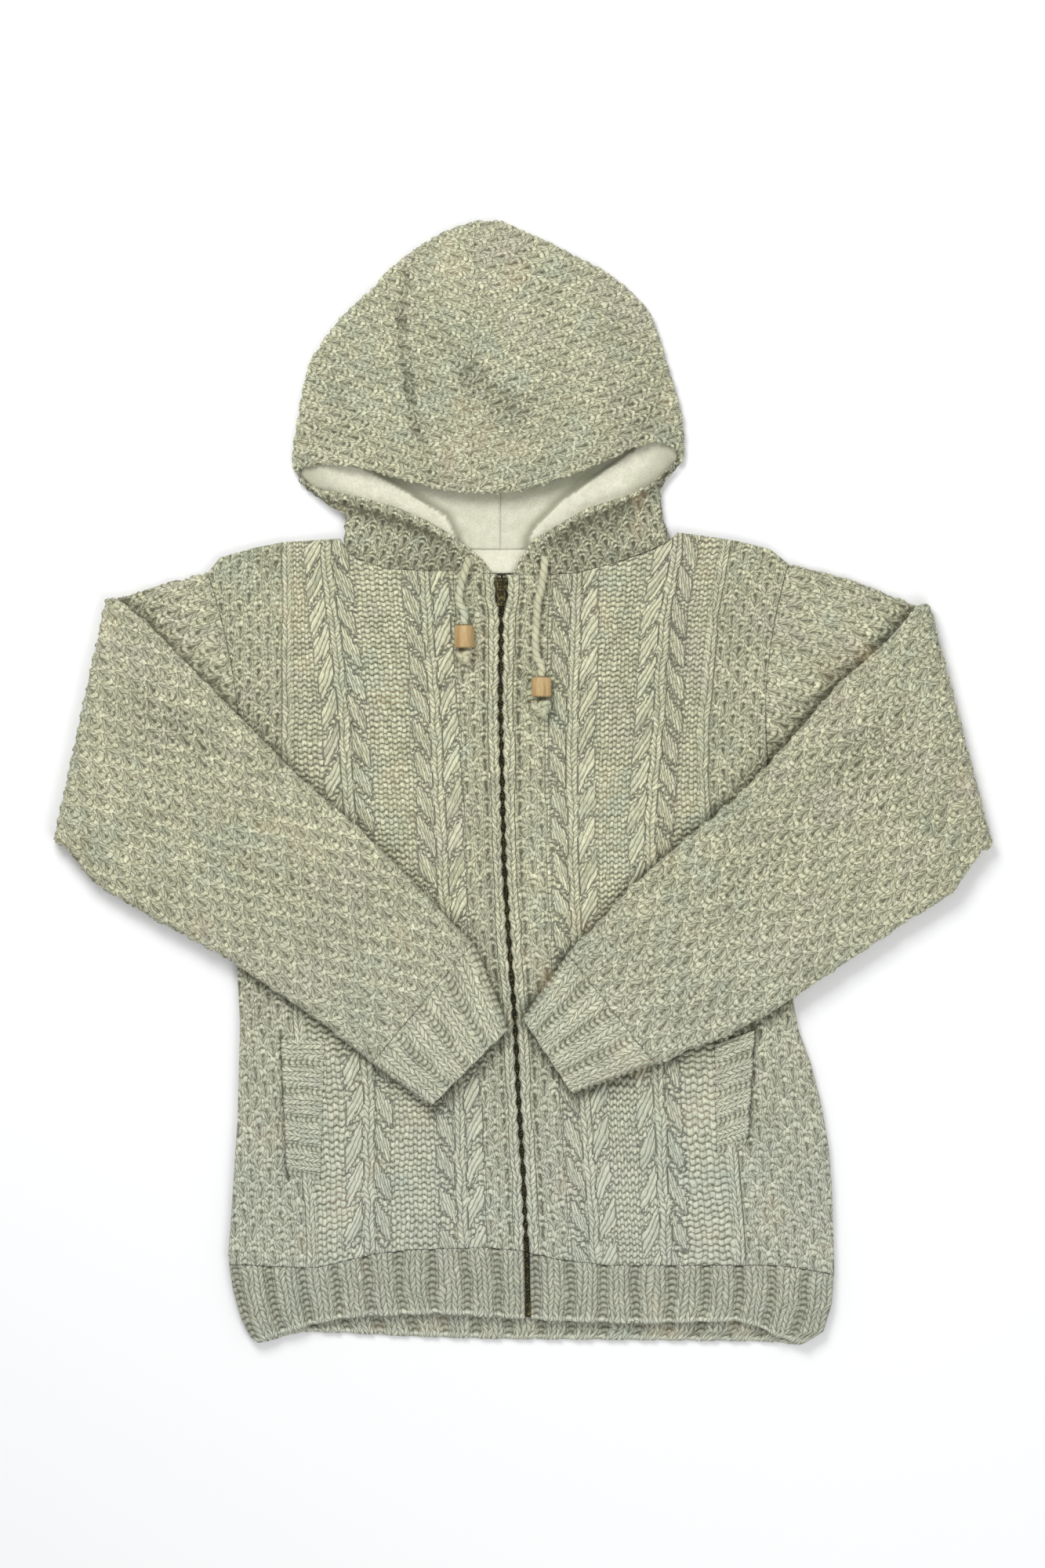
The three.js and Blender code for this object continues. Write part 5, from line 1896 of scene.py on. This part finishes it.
@dataclass
class HoodHalf:
    """One half of the hood: crown, collar and the back that lies on the surface.

    Attributes:
        side: Which half.
        crown_rows: Rows of points from the mouth to the silhouette.
        spacing: Distance between points along the edges.
    """

    side: Side
    crown_rows: int = 150
    spacing: float = 1.45

    def moss(self, x: Array, y: Array, turn: float, seed: int, row: float) -> Relief:
        """Moss stitch whose columns run across the hood.

        Args:
            x: Places across.
            y: Places up.
            turn: Turn of the knitting, in radians.
            seed: Sets the differences between loops.
            row: Height of a row.

        Returns:
            The relief.
        """
        c, s = math.cos(turn), math.sin(turn)
        a, b = c * x + s * y, c * y - s * x
        u = b / HOOD_STITCH + 0.25 * drift(x, y, 36, seed)
        v = a / row + 0.35 * drift(x, y, 44, seed + 1)
        return knitted(u, v, is_moss, HOOD_STITCH, row, seed + 2, MOSS)

    def crown(self, weaver: Weaver) -> None:
        """Adds the crown, which wraps round the silhouette to the underside.

        Args:
            weaver: Collects the mesh.
        """
        right = self.side is Side.RIGHT
        heights = np.linspace(251 if right else 263, 466, 80)
        low, high = hood_limits(heights)
        if right:
            edge = CROWN_EDGE[CROWN_EDGE[:, 0] < -44]
            bottom = np.vstack([[(-186.5, 256.5)], edge, [(-43.03, 240)]])
            outline = np.vstack([np.stack([low, heights], -1), [(-43.03, 466.5)]])
        else:
            edge = CROWN_EDGE[CROWN_EDGE[:, 0] > -42]
            bottom = np.vstack([[(-42.97, 240)], edge, [(128.5, 269.5)]])
            outline = np.vstack([[(-42.97, 466.5)], np.stack([high, heights], -1)[::-1]])
        long = np.linalg.norm(np.diff(outline, axis=0), axis=1).sum()
        shares = np.linspace(0, 1, int(long / self.spacing / 1.12))
        mouth, rim = resample(bottom, shares), resample(outline, shares)
        kernel = np.hanning(11) / np.hanning(11).sum()
        rim = np.stack([np.convolve(np.pad(rim[:, k], 5, "edge"), kernel, "valid") for k in (0, 1)], -1)
        tangent = np.gradient(rim, axis=0)
        tangent /= np.linalg.norm(tangent, axis=1, keepdims=True)
        outward = np.stack([-tangent[:, 1], tangent[:, 0]], -1)
        span = np.linalg.norm(rim - mouth, axis=1)
        scale = np.clip(span / 16, 0.15, 1)
        radius = (EDGE_RADIUS * scale)[:, None]
        inner = rim - outward * radius
        way = (inner - mouth) / np.linalg.norm(inner - mouth, axis=1, keepdims=True)
        roll = (1.9 * scale)[:, None]
        wave = 0.8 * np.sin(2 * np.pi * shares * long / 11.0)[:, None]
        mouth = mouth - way * wave

        def face(count: int, thick: float) -> Array:
            """The crown's surface.

            Args:
                count: Rows between the mouth and the silhouette.
                thick: How far it lies inside the outer face.

            Returns:
                Rows of points, from inside the mouth to the underside.
            """
            rows = []
            start = mouth + way * roll
            for angle in np.linspace(-np.pi / 2, np.pi / 2, 7)[:-1] if thick == 0 else [-np.pi / 2]:
                flat = start - way * roll * math.cos(angle)
                rows.append(np.column_stack([flat, crown_height(flat) - roll[:, 0] * (1 - math.sin(angle))]))
            for t in np.linspace(0.0 if thick == 0 else 0.04, 1, count):
                flat = start + (inner - start) * t
                left = np.linalg.norm(inner - flat, axis=1)
                share = smooth(left / 14)
                top = crown_height(flat) * share + (EDGE_RADIUS + radius[:, 0]) * (1 - share)
                rows.append(np.column_stack([flat, top - thick]))
            for angle in np.linspace(0, np.pi, 13 if thick == 0 else 5)[1:]:
                reach = np.maximum(radius - thick, 0.3)
                flat = inner + outward * reach * math.sin(angle)
                rows.append(np.column_stack([flat, EDGE_RADIUS + reach[:, 0] * math.cos(angle)]))
            for back in (3.0, 6.0):
                flat = inner - outward * back * scale[:, None]
                rows.append(np.column_stack([flat, EDGE_RADIUS - radius[:, 0] + min(thick, 3.2) * scale]))
            return np.stack(rows)

        points = face(self.crown_rows, 0.0)
        x, y = points[..., 0].copy(), points[..., 1].copy()
        relief = self.moss(x, y, 0.3 * self.side.sign, 200 + self.side.sign, HOOD_ROW)
        normal = normals(points)
        # Painted shade in the creases.
        folded = np.clip(-soft_folds(x, y, HOOD_FOLDS) / 4.5, 0, 1)
        relief.gap = np.clip(relief.gap + 0.54 * folded, 0, 1.1)
        seam = np.abs(x + HOOD_SEAM)
        lift = relief.height - 0.9 + 0.8 * drift(x, y, 50, 41)
        lift -= seam_valley(seam, 0.9, 2.2) * (y > 236)
        row = np.arange(len(points))[:, None]
        lift = np.where((points[..., 2] < 2.0) & (row > 30), np.minimum(lift, 0) * 0.3, lift)
        lift = np.where(row < 4, lift * 0.5, lift)
        band = np.exp(-(((row - 9) / 4.0) ** 2)) * 0.7
        lift = lift + band * (0.6 + 0.4 * np.sin(2 * np.pi * shares * long / 8.0))[None, :]
        points = points + normal * lift[..., None]
        points[..., 2] = np.maximum(points[..., 2], 0.0)
        outer = weaver.grid(points, relief)
        under = face(20, 3.4)[:, thinned(points.shape[1], 6)]
        weaver.close(outer, weaver.grid(under))

    def collar(self, weaver: Weaver) -> None:
        """Adds the collar below the mouth.

        Args:
            weaver: Collects the mesh.
        """
        right = self.side is Side.RIGHT
        top_line = COLLAR_RIGHT if right else COLLAR_LEFT
        heights = np.linspace(203, 252 if right else 264, 30)
        low, high = hood_limits(heights)
        side = np.stack([low if right else high, heights], -1)
        neck_x = np.linspace(-149, -27.5, 60) if right else np.linspace(-8.5, 121, 60)
        neck = np.stack([neck_x, read(TOP_EDGE, neck_x) + 0.03], -1)
        long = np.linalg.norm(np.diff(top_line, axis=0), axis=1).sum()
        count = int(long / self.spacing)
        shares = np.linspace(0, 1, count)
        rows = 58
        bottom, top = resample(neck, shares), resample(top_line, shares)
        line = resample(side, np.linspace(0, 1, rows))
        end = 0 if right else -1
        point = -1 if right else 0
        bottom[end], top[end] = line[0], line[-1]
        other = np.linspace(bottom[point], top[point], rows)
        grid = coons(bottom, top, line, other) if right else coons(bottom, top, other, line)
        x, y = grid[..., 0], grid[..., 1]
        relief = self.moss(y, x, -0.3 * self.side.sign, 230 + self.side.sign, COLLAR_ROW)
        top_z = hood_top(x, y)
        reach = np.linspace(0, 1, rows)[:, None] * np.linalg.norm(top - bottom, axis=1)[None, :]
        full = np.linalg.norm(top - bottom, axis=1)[None, :]
        from_neck, from_mouth = reach, full - reach
        steps = np.linalg.norm(np.diff(grid, axis=1), axis=-1)
        out = np.concatenate([np.zeros((rows, 1)), np.cumsum(steps, 1)], 1)
        from_side = out if right else out[:, -1:] - out
        drop = np.maximum(rounding(from_side, 5.0, 4.6), rounding(from_mouth, 2.0, 1.9))
        lift = relief.height - 0.9 + 0.6 * drift(x, y, 45, 43)
        lift *= 0.3 + 0.7 * smooth(from_neck / 4)
        lift += 0.8 * np.exp(-(((from_mouth - 4) / 3.0) ** 2)) - seam_valley(from_neck, 0.9, 4.0)
        points = np.stack([x, y, top_z - drop], -1)
        normal = normals(points)
        points = points + normal * (lift * smooth(from_mouth / 2 + 0.3))[..., None]
        # Painted shadow under the hood's lip and painted shade beside the neck seam, both fading near the
        # zip.
        below_lip = smooth((from_mouth - 4) / 7) * np.exp(-np.maximum(from_mouth - 4, 0) / 26)
        shade = 0.35 * np.exp(-((from_neck / 10.0) ** 2)) + 1.2 * below_lip
        shade = shade * smooth(np.abs(x + ZIP_MIDDLE) / 44 - 0.3)
        relief.gap = np.clip(relief.gap + shade, 0, 1.15)
        outer = weaver.grid(points, relief)
        pick_r, pick_c = thinned(rows, 6), thinned(count, 6)
        under = np.stack([x, y, np.maximum(top_z - 3.9, 4.6)], -1)[np.ix_(pick_r, pick_c)]
        middle = under.mean((0, 1))
        under[..., :2] = middle[:2] + (under[..., :2] - middle[:2]) * 0.985
        weaver.close(outer, weaver.grid(under))

    def lying_back(self, weaver: Weaver) -> None:
        """Adds the back of the hood, plain on the surface.

        Args:
            weaver: Collects the mesh.
        """
        right = self.side is Side.RIGHT
        rows, columns = 62, 34
        level = np.linspace(0, 1, rows)[:, None]
        share = np.linspace(0, 1, columns)[None, :]
        seam = np.array([(150, -19), (195, -19), (240, -41), (337, -43), (480, -43)], float)
        y = np.broadcast_to(178 + level * (HOOD_HEAD - 178), (rows, columns)).copy()
        for _ in range(4):
            low, high = hood_limits(y)
            (low_a, high_a), (low_b, high_b) = hood_limits(y - 8), hood_limits(y + 8)
            low = np.maximum(low, (low_a + low_b) / 2)
            high = np.minimum(high, (high_a + high_b) / 2)
            inset = 1.0 + 10.0 * smooth((y - 240) / 24)
            middle = read(seam, y)
            first = np.where(right, low + inset, middle + GAP / 2)
            last = np.where(right, middle - GAP / 2, high - inset)
            last = np.maximum(last, first + 1.0)
            x = first + share * (last - first)
            at_neck = (x > NECK_FIRST) & (x < NECK_LAST)
            start = np.where(at_neck, read(TOP_EDGE, x) + GAP + 0.2, 203.5)
            y = start + level * (HOOD_HEAD - start)
        edge = np.minimum(np.minimum(level, 1 - level) * 280, np.minimum(share, 1 - share) * (last - first))
        drop = rounding(edge, 3.0, 1.8)
        points = np.stack([x, y, WALL - drop], -1)
        face = weaver.grid(points)
        under = points.copy()
        under[..., 2] = 0.35 + 0.6 * drop
        weaver.close(face, weaver.grid(under))

    def make(self, wardrobe: Wardrobe) -> Thing:
        """Builds the hood half.

        Args:
            wardrobe: The finishes.

        Returns:
            The piece.
        """
        weaver = Weaver()
        self.crown(weaver)
        self.collar(weaver)
        self.lying_back(weaver)
        piece = weaver.build(f"hood_{self.side.word}_knit", wardrobe.wool)
        "lining_" + self.side.word
        return dress(piece, f"hood_{self.side.word}")


@dataclass
class Lining:
    """One half of the fleece lining inside the hood.

    Attributes:
        side: Which half.
    """

    side: Side

    def beyond_fold(self, x: Array, y: Array) -> Array:
        """Distance past the edge where the lining folds forward with the collar.

        Args:
            x: Places across.
            y: Places up.

        Returns:
            The distance, below 0 on the part that stays behind.
        """
        line = [(-125, 258), (-111, 251), (-78, 231), (-64, 223), (-55, 205), (-54, 190)]
        if self.side is Side.LEFT:
            line = [(90, 276), (70, 262), (29, 233), (9, 213), (4, 203), (3, 190)]
        best = np.full(x.shape, np.inf)
        signed = np.zeros(x.shape)
        for (x0, y0), (x1, y1) in zip(line, line[1:]):
            off = beside(x, y, (x0, y0, x1, y1))[1]
            turn = ((x - x0) * (y1 - y0) - (y - y0) * (x1 - x0)) * -self.side.sign
            near = off < best
            best = np.where(near, off, best)
            signed = np.where(near, np.where(turn > 0, off, -off), signed)
        return signed

    def make(self, wardrobe: Wardrobe) -> Thing:
        """Builds the lining.

        Args:
            wardrobe: The finishes.

        Returns:
            The piece.
        """
        level, share = grid_shares(52, 60)
        y = 194 + level * 106
        low, high = hood_limits(y)
        neck = smooth((y - 214) / 6)
        clear = 5
        seam = -ZIP_MIDDLE + self.side.sign * 0.03
        if self.side is Side.RIGHT:
            limit = np.maximum(low + clear, -126 - 60 * neck)
            x = limit + share * (seam - limit)
        else:
            limit = np.minimum(high - clear, 90 + 60 * neck)
            x = seam + share * (limit - seam)
        edge = np.minimum(np.minimum(level, 1 - level) * 106, np.minimum(share, 1 - share) * 140)
        drop = rounding(edge, 1.6, 0.35)
        puff = 0.35 * drift(x, y, 26, 51) + 0.15 * drift(x, y, 6, 52)
        puff = puff - 0.3 * smooth(np.abs(x + ZIP_MIDDLE) / 3)
        flap = self.beyond_fold(x, y)
        within = np.minimum(x - low - clear, high - clear - x)
        inside = smooth(within / 25)
        top = WALL + GAP + 2.1 - drop + puff + 3.0 * smooth(flap / 3.5 + 0.5) * inside
        points = np.stack([x, y, top], -1)
        # Painted shade along the fold where the lining turns forward, towards the hood's sides high up, and
        # over the part that stays behind, more under the crown.
        hollow = np.exp(-((np.minimum(flap, 0) / 5.0) ** 2)) * np.where(flap < 1.5, 1.0, 0.0)
        far = 1 - smooth(within / 40)
        plain = np.zeros_like(x)
        behind = np.where(flap < 0, 0.24 + 0.6 * smooth((y - 228) / 34), 0.0)
        shade = np.clip(0.85 * hollow * inside + 0.7 * far * (y > 236) + behind, 0, 1)
        relief = Relief(plain, shade, plain, plain, plain)
        piece = shell(f"lining_{self.side.word}_fleece", wardrobe.fleece, points, WALL + GAP, relief, 5)
        width = 0.145 if self.side is Side.RIGHT else 0.15
        f"hood_{self.side.word}_knit"
        0.93 * width * 0.106
        return dress(piece, f"lining_{self.side.word}")


@dataclass
class NeckTape:
    """The fleece tape that covers the neck seam."""

    def make(self, wardrobe: Wardrobe) -> Thing:
        """Builds the tape.

        Args:
            wardrobe: The finishes.

        Returns:
            The piece.
        """
        columns = 90
        x, level = np.meshgrid(np.linspace(-110, 70, columns), np.linspace(0, 1, 12))
        y = 174.2 + level * 19.76
        edge = np.minimum(level, 1 - level) * 19.5
        stitch = 0.35 * np.exp(-(((edge - 2.2) / 0.6) ** 2))
        z = WALL + 1.6 - 0.2 * (1 - np.clip(edge / 1.2, 0, 1)) + 0.12 * drift(x, y, 12, 61) - stitch
        points = np.stack([x, y, z], -1)
        weaver = Weaver()
        plain = np.zeros_like(x)
        face = weaver.grid(points, Relief(plain, plain, plain, plain, plain))
        under = points[:, thinned(columns, 4)].copy()
        under[..., 2] = WALL + GAP
        weaver.close(face, weaver.grid(under))
        piece = weaver.build("neck_tape_fleece", wardrobe.fleece)
        return dress(piece, "neck_tape")


# ---- the zip ----
@dataclass
class ZipTape:
    """Half of the woven zip tape.

    Attributes:
        side: Which half.
    """

    side: Side

    def make(self, wardrobe: Wardrobe) -> Thing:
        """Builds the tape.

        Args:
            wardrobe: The finishes.

        Returns:
            The piece.
        """
        rows, columns = 60, 5
        y = np.broadcast_to(np.linspace(-443, 172, rows)[:, None], (rows, columns))
        out = np.array([3.1, 3.6, 9.0, 14.4, 15.0])[None, :]
        x = read(ZIP_LINE, y) + self.side.sign * out
        z = np.broadcast_to(np.array([4.8, 5.1, 5.05, 5.1, 4.8])[None, :], (rows, columns))
        points = np.stack([x, y, z], -1)
        piece = shell(f"zip_tape_{self.side.word}_woven", wardrobe.tape, points, 4.3)
        return dress(piece, f"zip_tape_{self.side.word}")


@dataclass
class ZipChain:
    """The closed metal teeth.

    Attributes:
        pitch: Distance between the teeth of one side.
        tooth: Width, length and height of a tooth.
        low: Height of the lowest tooth.
        top: Height at which the teeth end.
    """

    pitch: float = 2.6
    tooth: tuple[float, float, float] = (2.6, 1.5, 2.6)
    low: float = -429
    top: float = 170

    def make(self, wardrobe: Wardrobe) -> Thing:
        """Builds the chain.

        Args:
            wardrobe: The finishes.

        Returns:
            The piece.
        """
        bpy.ops.object.select_all(action="DESELECT")
        bpy.ops.mesh.primitive_cube_add(size=1)
        model = bpy.context.object
        model.scale = [v * MM for v in self.tooth]
        bpy.ops.object.transform_apply(location=False, rotation=False, scale=True)
        bpy.ops.object.mode_set(mode="EDIT")
        bpy.ops.mesh.select_all(action="SELECT")
        bpy.ops.mesh.bevel(offset=0.38 * MM, segments=1, affect="EDGES")
        bpy.ops.object.mode_set(mode="OBJECT")
        shape = np.array([v.co for v in model.data.vertices])
        cells = [list(p.vertices) for p in model.data.polygons]
        bpy.data.objects.remove(model)
        points, faces = [], []

        def put(x: float, y: float, z: float, size: Sequence[float] = (1, 1, 1)) -> None:
            """Adds one copy of the tooth."""
            start = len(points)
            points.extend((shape * np.array(size) + np.array([x, y, z]) * MM).tolist())
            faces.extend([[start + k for k in cell] for cell in cells])

        count = int(600 / self.pitch)
        for k in range(count):
            for sign, shift in ((-1, 0.0), (1, 0.5)):
                y = self.low + (k + shift) * self.pitch
                if y < self.top:
                    x = float(read(ZIP_LINE, np.array(y)))
                    put(x + sign * 0.6, y, 5.7)
        for k in range(24):
            y = self.low + (k + 0.5) * 25.2
            if y < self.top:
                put(float(read(ZIP_LINE, np.array(y))), y, 5.0, (0.5, 18.5, 0.35))
        mesh = bpy.data.meshes.new("zip_chain_teeth")
        mesh.from_pydata(points, [], faces)
        mesh.materials.append(wardrobe.brass)
        piece = bpy.data.objects.new("zip_chain_teeth", mesh)
        bpy.context.scene.collection.objects.link(piece)
        return dress(piece, "zip_chain")


# ---- the drawstring ----
@dataclass
class Drawstring:
    """One free end of the drawstring: a twisted wool cord, a wooden bead and a knot.

    Attributes:
        side: Which half.
        radius: Radius of the cord.
        lay: Length of one turn of the twist.
    """

    side: Side
    radius: float = 3.2
    lay: float = 13.0

    def route(self, count: int) -> Array:
        """The cord's centreline, smooth through its points.

        Args:
            count: How many points it gets.

        Returns:
            The points.
        """
        points = CUTS[self.side].cord
        padded = np.vstack([2 * points[0] - points[1], points, 2 * points[-1] - points[-2]])
        line = []
        for k in range(1, len(padded) - 2):
            a, b, c, d = padded[k - 1:k + 3]
            for t in np.linspace(0, 1, 12, endpoint=False):
                line.append(0.5 * (2 * b + (c - a) * t + (2 * a - 5 * b + 4 * c - d) * t ** 2
                                   + (3 * b - a - 3 * c + d) * t ** 3))
        line.append(points[-1])
        return resample(np.array(line), np.linspace(0, 1, count))

    def twisted(self, line: Array, radius: float, lay: float, around: int = 20) -> tuple[Array, Array]:
        """A rope's surface along a line, with its two strands wound round each other.

        Args:
            line: The rope's middle.
            radius: Its radius.
            lay: Length of one turn of the twist.
            around: Points round it.

        Returns:
            Rings of points, and for each how far it lies from where the strands meet, from 0 to 1.
        """
        tangent = np.gradient(line, axis=0)
        tangent /= np.linalg.norm(tangent, axis=1, keepdims=True)
        side = np.cross(tangent, np.array([0.0, 0.0, 1.0]))
        side /= np.linalg.norm(side, axis=1, keepdims=True)
        up = np.cross(side, tangent)
        steps = np.linalg.norm(np.diff(line, axis=0), axis=1)
        at = np.concatenate([[0.0], np.cumsum(steps)])[:, None]
        angle = np.linspace(0, 2 * np.pi, around, endpoint=False)[None, :]
        lobe = np.abs(np.cos(angle - 2 * np.pi * at / lay))
        swell = radius * (0.74 + 0.3 * lobe ** 0.8)
        return (line[:, None] + side[:, None] * (swell * np.cos(angle))[..., None]
                + up[:, None] * (swell * np.sin(angle))[..., None]), lobe

    def plies(self, lobe: Array) -> Relief:
        """What the material needs to know of a rope: painted shade where its strands meet."""
        flat = np.zeros_like(lobe)
        return Relief(lobe, np.clip(0.9 - 1.3 * lobe, 0, 1), flat + PURL, flat, flat + 0.33)

    def tube(self, weaver: Weaver, line: Array, radius: float, lay: float) -> None:
        """Adds a closed rope along a line.

        Args:
            weaver: Collects the mesh.
            line: The rope's middle.
            radius: Its radius.
            lay: Length of one turn of the twist.
        """
        points, lobe = self.twisted(line, radius, lay)
        ring = weaver.grid(points, self.plies(lobe), around=True)
        weaver.cap(ring[0])
        weaver.cap(ring[-1])

    def make(self, wardrobe: Wardrobe) -> None:
        """Builds the cord, the bead and the knot.

        Args:
            wardrobe: The finishes.
        """
        word = self.side.word
        line = self.route(90)
        weaver = Weaver()
        self.tube(weaver, line, self.radius, self.lay)
        cord = weaver.build(f"cord_{word}_twist", wardrobe.cord)
        dress(cord, f"cord_{word}")
        bead = self.bead(wardrobe)
        knot = self.knot(wardrobe)

    def bead(self, wardrobe: Wardrobe) -> Thing:
        """Builds the wooden bead, with the mouth of its bore at each end.

        Args:
            wardrobe: The finishes.

        Returns:
            The piece.
        """
        cut = CUTS[self.side]
        end = cut.cord[-1]
        around, length = 40, cut.toggle
        profile = [
            (3.4, 1.5), (3.5, -0.1), (4.3, 0.25), (7.1, 0.3), (7.9, 0.9), (8.15, 2.0), (8.2, length / 2),
            (8.15, length - 2.0), (7.9, length - 0.9), (7.1, length - 0.3), (4.3, length - 0.25),
            (3.5, length - 0.1), (3.4, length - 1.5)]
        angle = np.linspace(0, 2 * np.pi, around, endpoint=False)
        rings = []
        for r, along in profile:
            wobble = r * (1 + 0.012 * np.sin(2 * angle + 0.7))
            rings.append(np.stack([end[0] + wobble * np.cos(angle), np.full(around, end[1] - GAP - along),
                                   end[2] + wobble * np.sin(angle)], -1))
        weaver = Weaver()
        ring = weaver.grid(np.stack(rings), around=True)
        weaver.cap(ring[0])
        weaver.cap(ring[-1])
        piece = weaver.build(f"toggle_{self.side.word}_bead", wardrobe.wood)
        return dress(piece, f"toggle_{self.side.word}")

    def knot(self, wardrobe: Wardrobe) -> Thing:
        """Builds the knot: an overhand knot and a short tail.

        Args:
            wardrobe: The finishes.

        Returns:
            The piece.
        """
        cut = CUTS[self.side]
        end = cut.cord[-1]
        width, length = cut.knot
        middle = np.array([end[0], end[1] - 2 * GAP - cut.toggle - length / 2, end[2] - 2.5])
        t = np.linspace(0, 2 * np.pi, 120, endpoint=False) + 0.6
        loop = np.stack([np.sin(t) + 2 * np.sin(2 * t), np.cos(t) - 2 * np.cos(2 * t), -np.sin(3 * t)], -1)
        loop = loop / np.array([3.0, 3.0, 1.0]) * np.array([width / 2 - 3.0, length / 2 - 2.8, 3.0])
        weaver = Weaver()
        closed = np.vstack([loop, loop[:1]]) + middle
        points, lobe = self.twisted(closed, 2.7, 11.0)
        ring = weaver.grid(points[:-1], self.plies(lobe[:-1]), around=True)
        weaver.join(ring[-1], ring[0])
        tail = middle + np.array([(1, 0, 0), (2.5, -length * 0.28, 1.0), (3.5, -length * 0.5, -1.5)])
        self.tube(weaver, resample(tail, np.linspace(0, 1, 10)), 2.2, 9.0)
        piece = weaver.build(f"knot_{self.side.word}_tied", wardrobe.cord)
        return dress(piece, f"knot_{self.side.word}")


# ---- the studio ----
@dataclass
class Studio:
    """Camera, soft light and a pale floor.

    Attributes:
        view: Width and height of what the camera sees, in millimetres.
        centre: Middle of the view.
        distance: Height of the camera, in metres.
    """

    view: tuple[float, float] = (866.5, 1300.0)
    centre: tuple[float, float] = (-0.65, -0.65)
    distance: float = 8.0

    def camera(self) -> None:
        """Sets the camera straight above the garment."""
        data = bpy.data.cameras.new("camera")
        data.sensor_width = 36.0
        data.lens = 36.0 * (self.distance - 0.012) / (self.view[1] * MM)
        data.clip_end = 60.0
        camera = bpy.data.objects.new("camera", data)
        camera.location = (self.centre[0] * MM, self.centre[1] * MM, self.distance)
        bpy.context.scene.collection.objects.link(camera)
        bpy.context.scene.camera = camera

    def light(self) -> None:
        """Adds a large soft box above, a weaker one at the hood's side, and an even surround."""
        world = bpy.data.worlds.new("studio")
        world.use_nodes = True
        world.node_tree.nodes["Background"].inputs["Color"].default_value = (0.97, 0.985, 1.0, 1.0)
        world.node_tree.nodes["Background"].inputs["Strength"].default_value = 0.5
        bpy.context.scene.world = world
        for name, place, size, power in (
            ("soft_box", (-0.6, 1.25, 1.8), 1.0, 30.0),
            ("fill_box", (0.7, -0.9, 1.8), 1.4, 14.0),
        ):
            data = bpy.data.lights.new(name, "AREA")
            data.shape, data.size, data.energy = "SQUARE", size, power
            lamp = bpy.data.objects.new(name, data)
            lamp.location = place
            lamp.rotation_euler = (-Vector(place)).to_track_quat("-Z", "Y").to_euler()
            bpy.context.scene.collection.objects.link(lamp)

    def floor(self) -> None:
        """Adds the pale surface that the garment lies on."""
        bpy.ops.object.select_all(action="DESELECT")
        bpy.ops.mesh.primitive_plane_add(size=8, location=(0, 0, -0.0004))
        floor = bpy.context.object
        floor.name = "floor"
        n = Nodes("paper")
        floor.data.materials.append(n.finish((0.93, 0.93, 0.93), 0.9))

    def build(self) -> None:
        """Builds the studio."""
        self.camera()
        self.light()
        self.floor()
        bpy.context.scene.view_settings.view_transform = "Standard"


def main() -> None:
    """Builds the garment, piece by piece."""
    logging.basicConfig(level=logging.INFO, format="%(name)s: %(message)s", stream=sys.stdout)
    Studio().build()
    wardrobe = Wardrobe()
    for side in Side:
        Drawstring(side).make(wardrobe)
    Back().make(wardrobe)
    RibbedHem("back_hem", BACK_HEM, 0.0, WALL - RIB_RISE, 18, None, (0.5, 0.08), ()).make(wardrobe)
    for side in Side:
        Front(side).make(wardrobe)
        RibbedHem(f"hem_{side.word}", FRONT_HEM, FRONT_BASE, WALL, 9, side, (0.25, 0.062),
                  ("back_hem",)).make(wardrobe)
        Welt(side).make(wardrobe)
        Sleeve(side).make(wardrobe)
        Cuff(side).make(wardrobe)
        HoodHalf(side).make(wardrobe)
        Lining(side).make(wardrobe)
        ZipTape(side).make(wardrobe)
    NeckTape().make(wardrobe)
    ZipChain().make(wardrobe)
    for node in ("zip_box", "zip_slider", "zip_pull"):
        bpy.data.objects[node].data.materials.clear()
        bpy.data.objects[node].data.materials.append(wardrobe.brass)


if __name__ == "__main__":
    main()
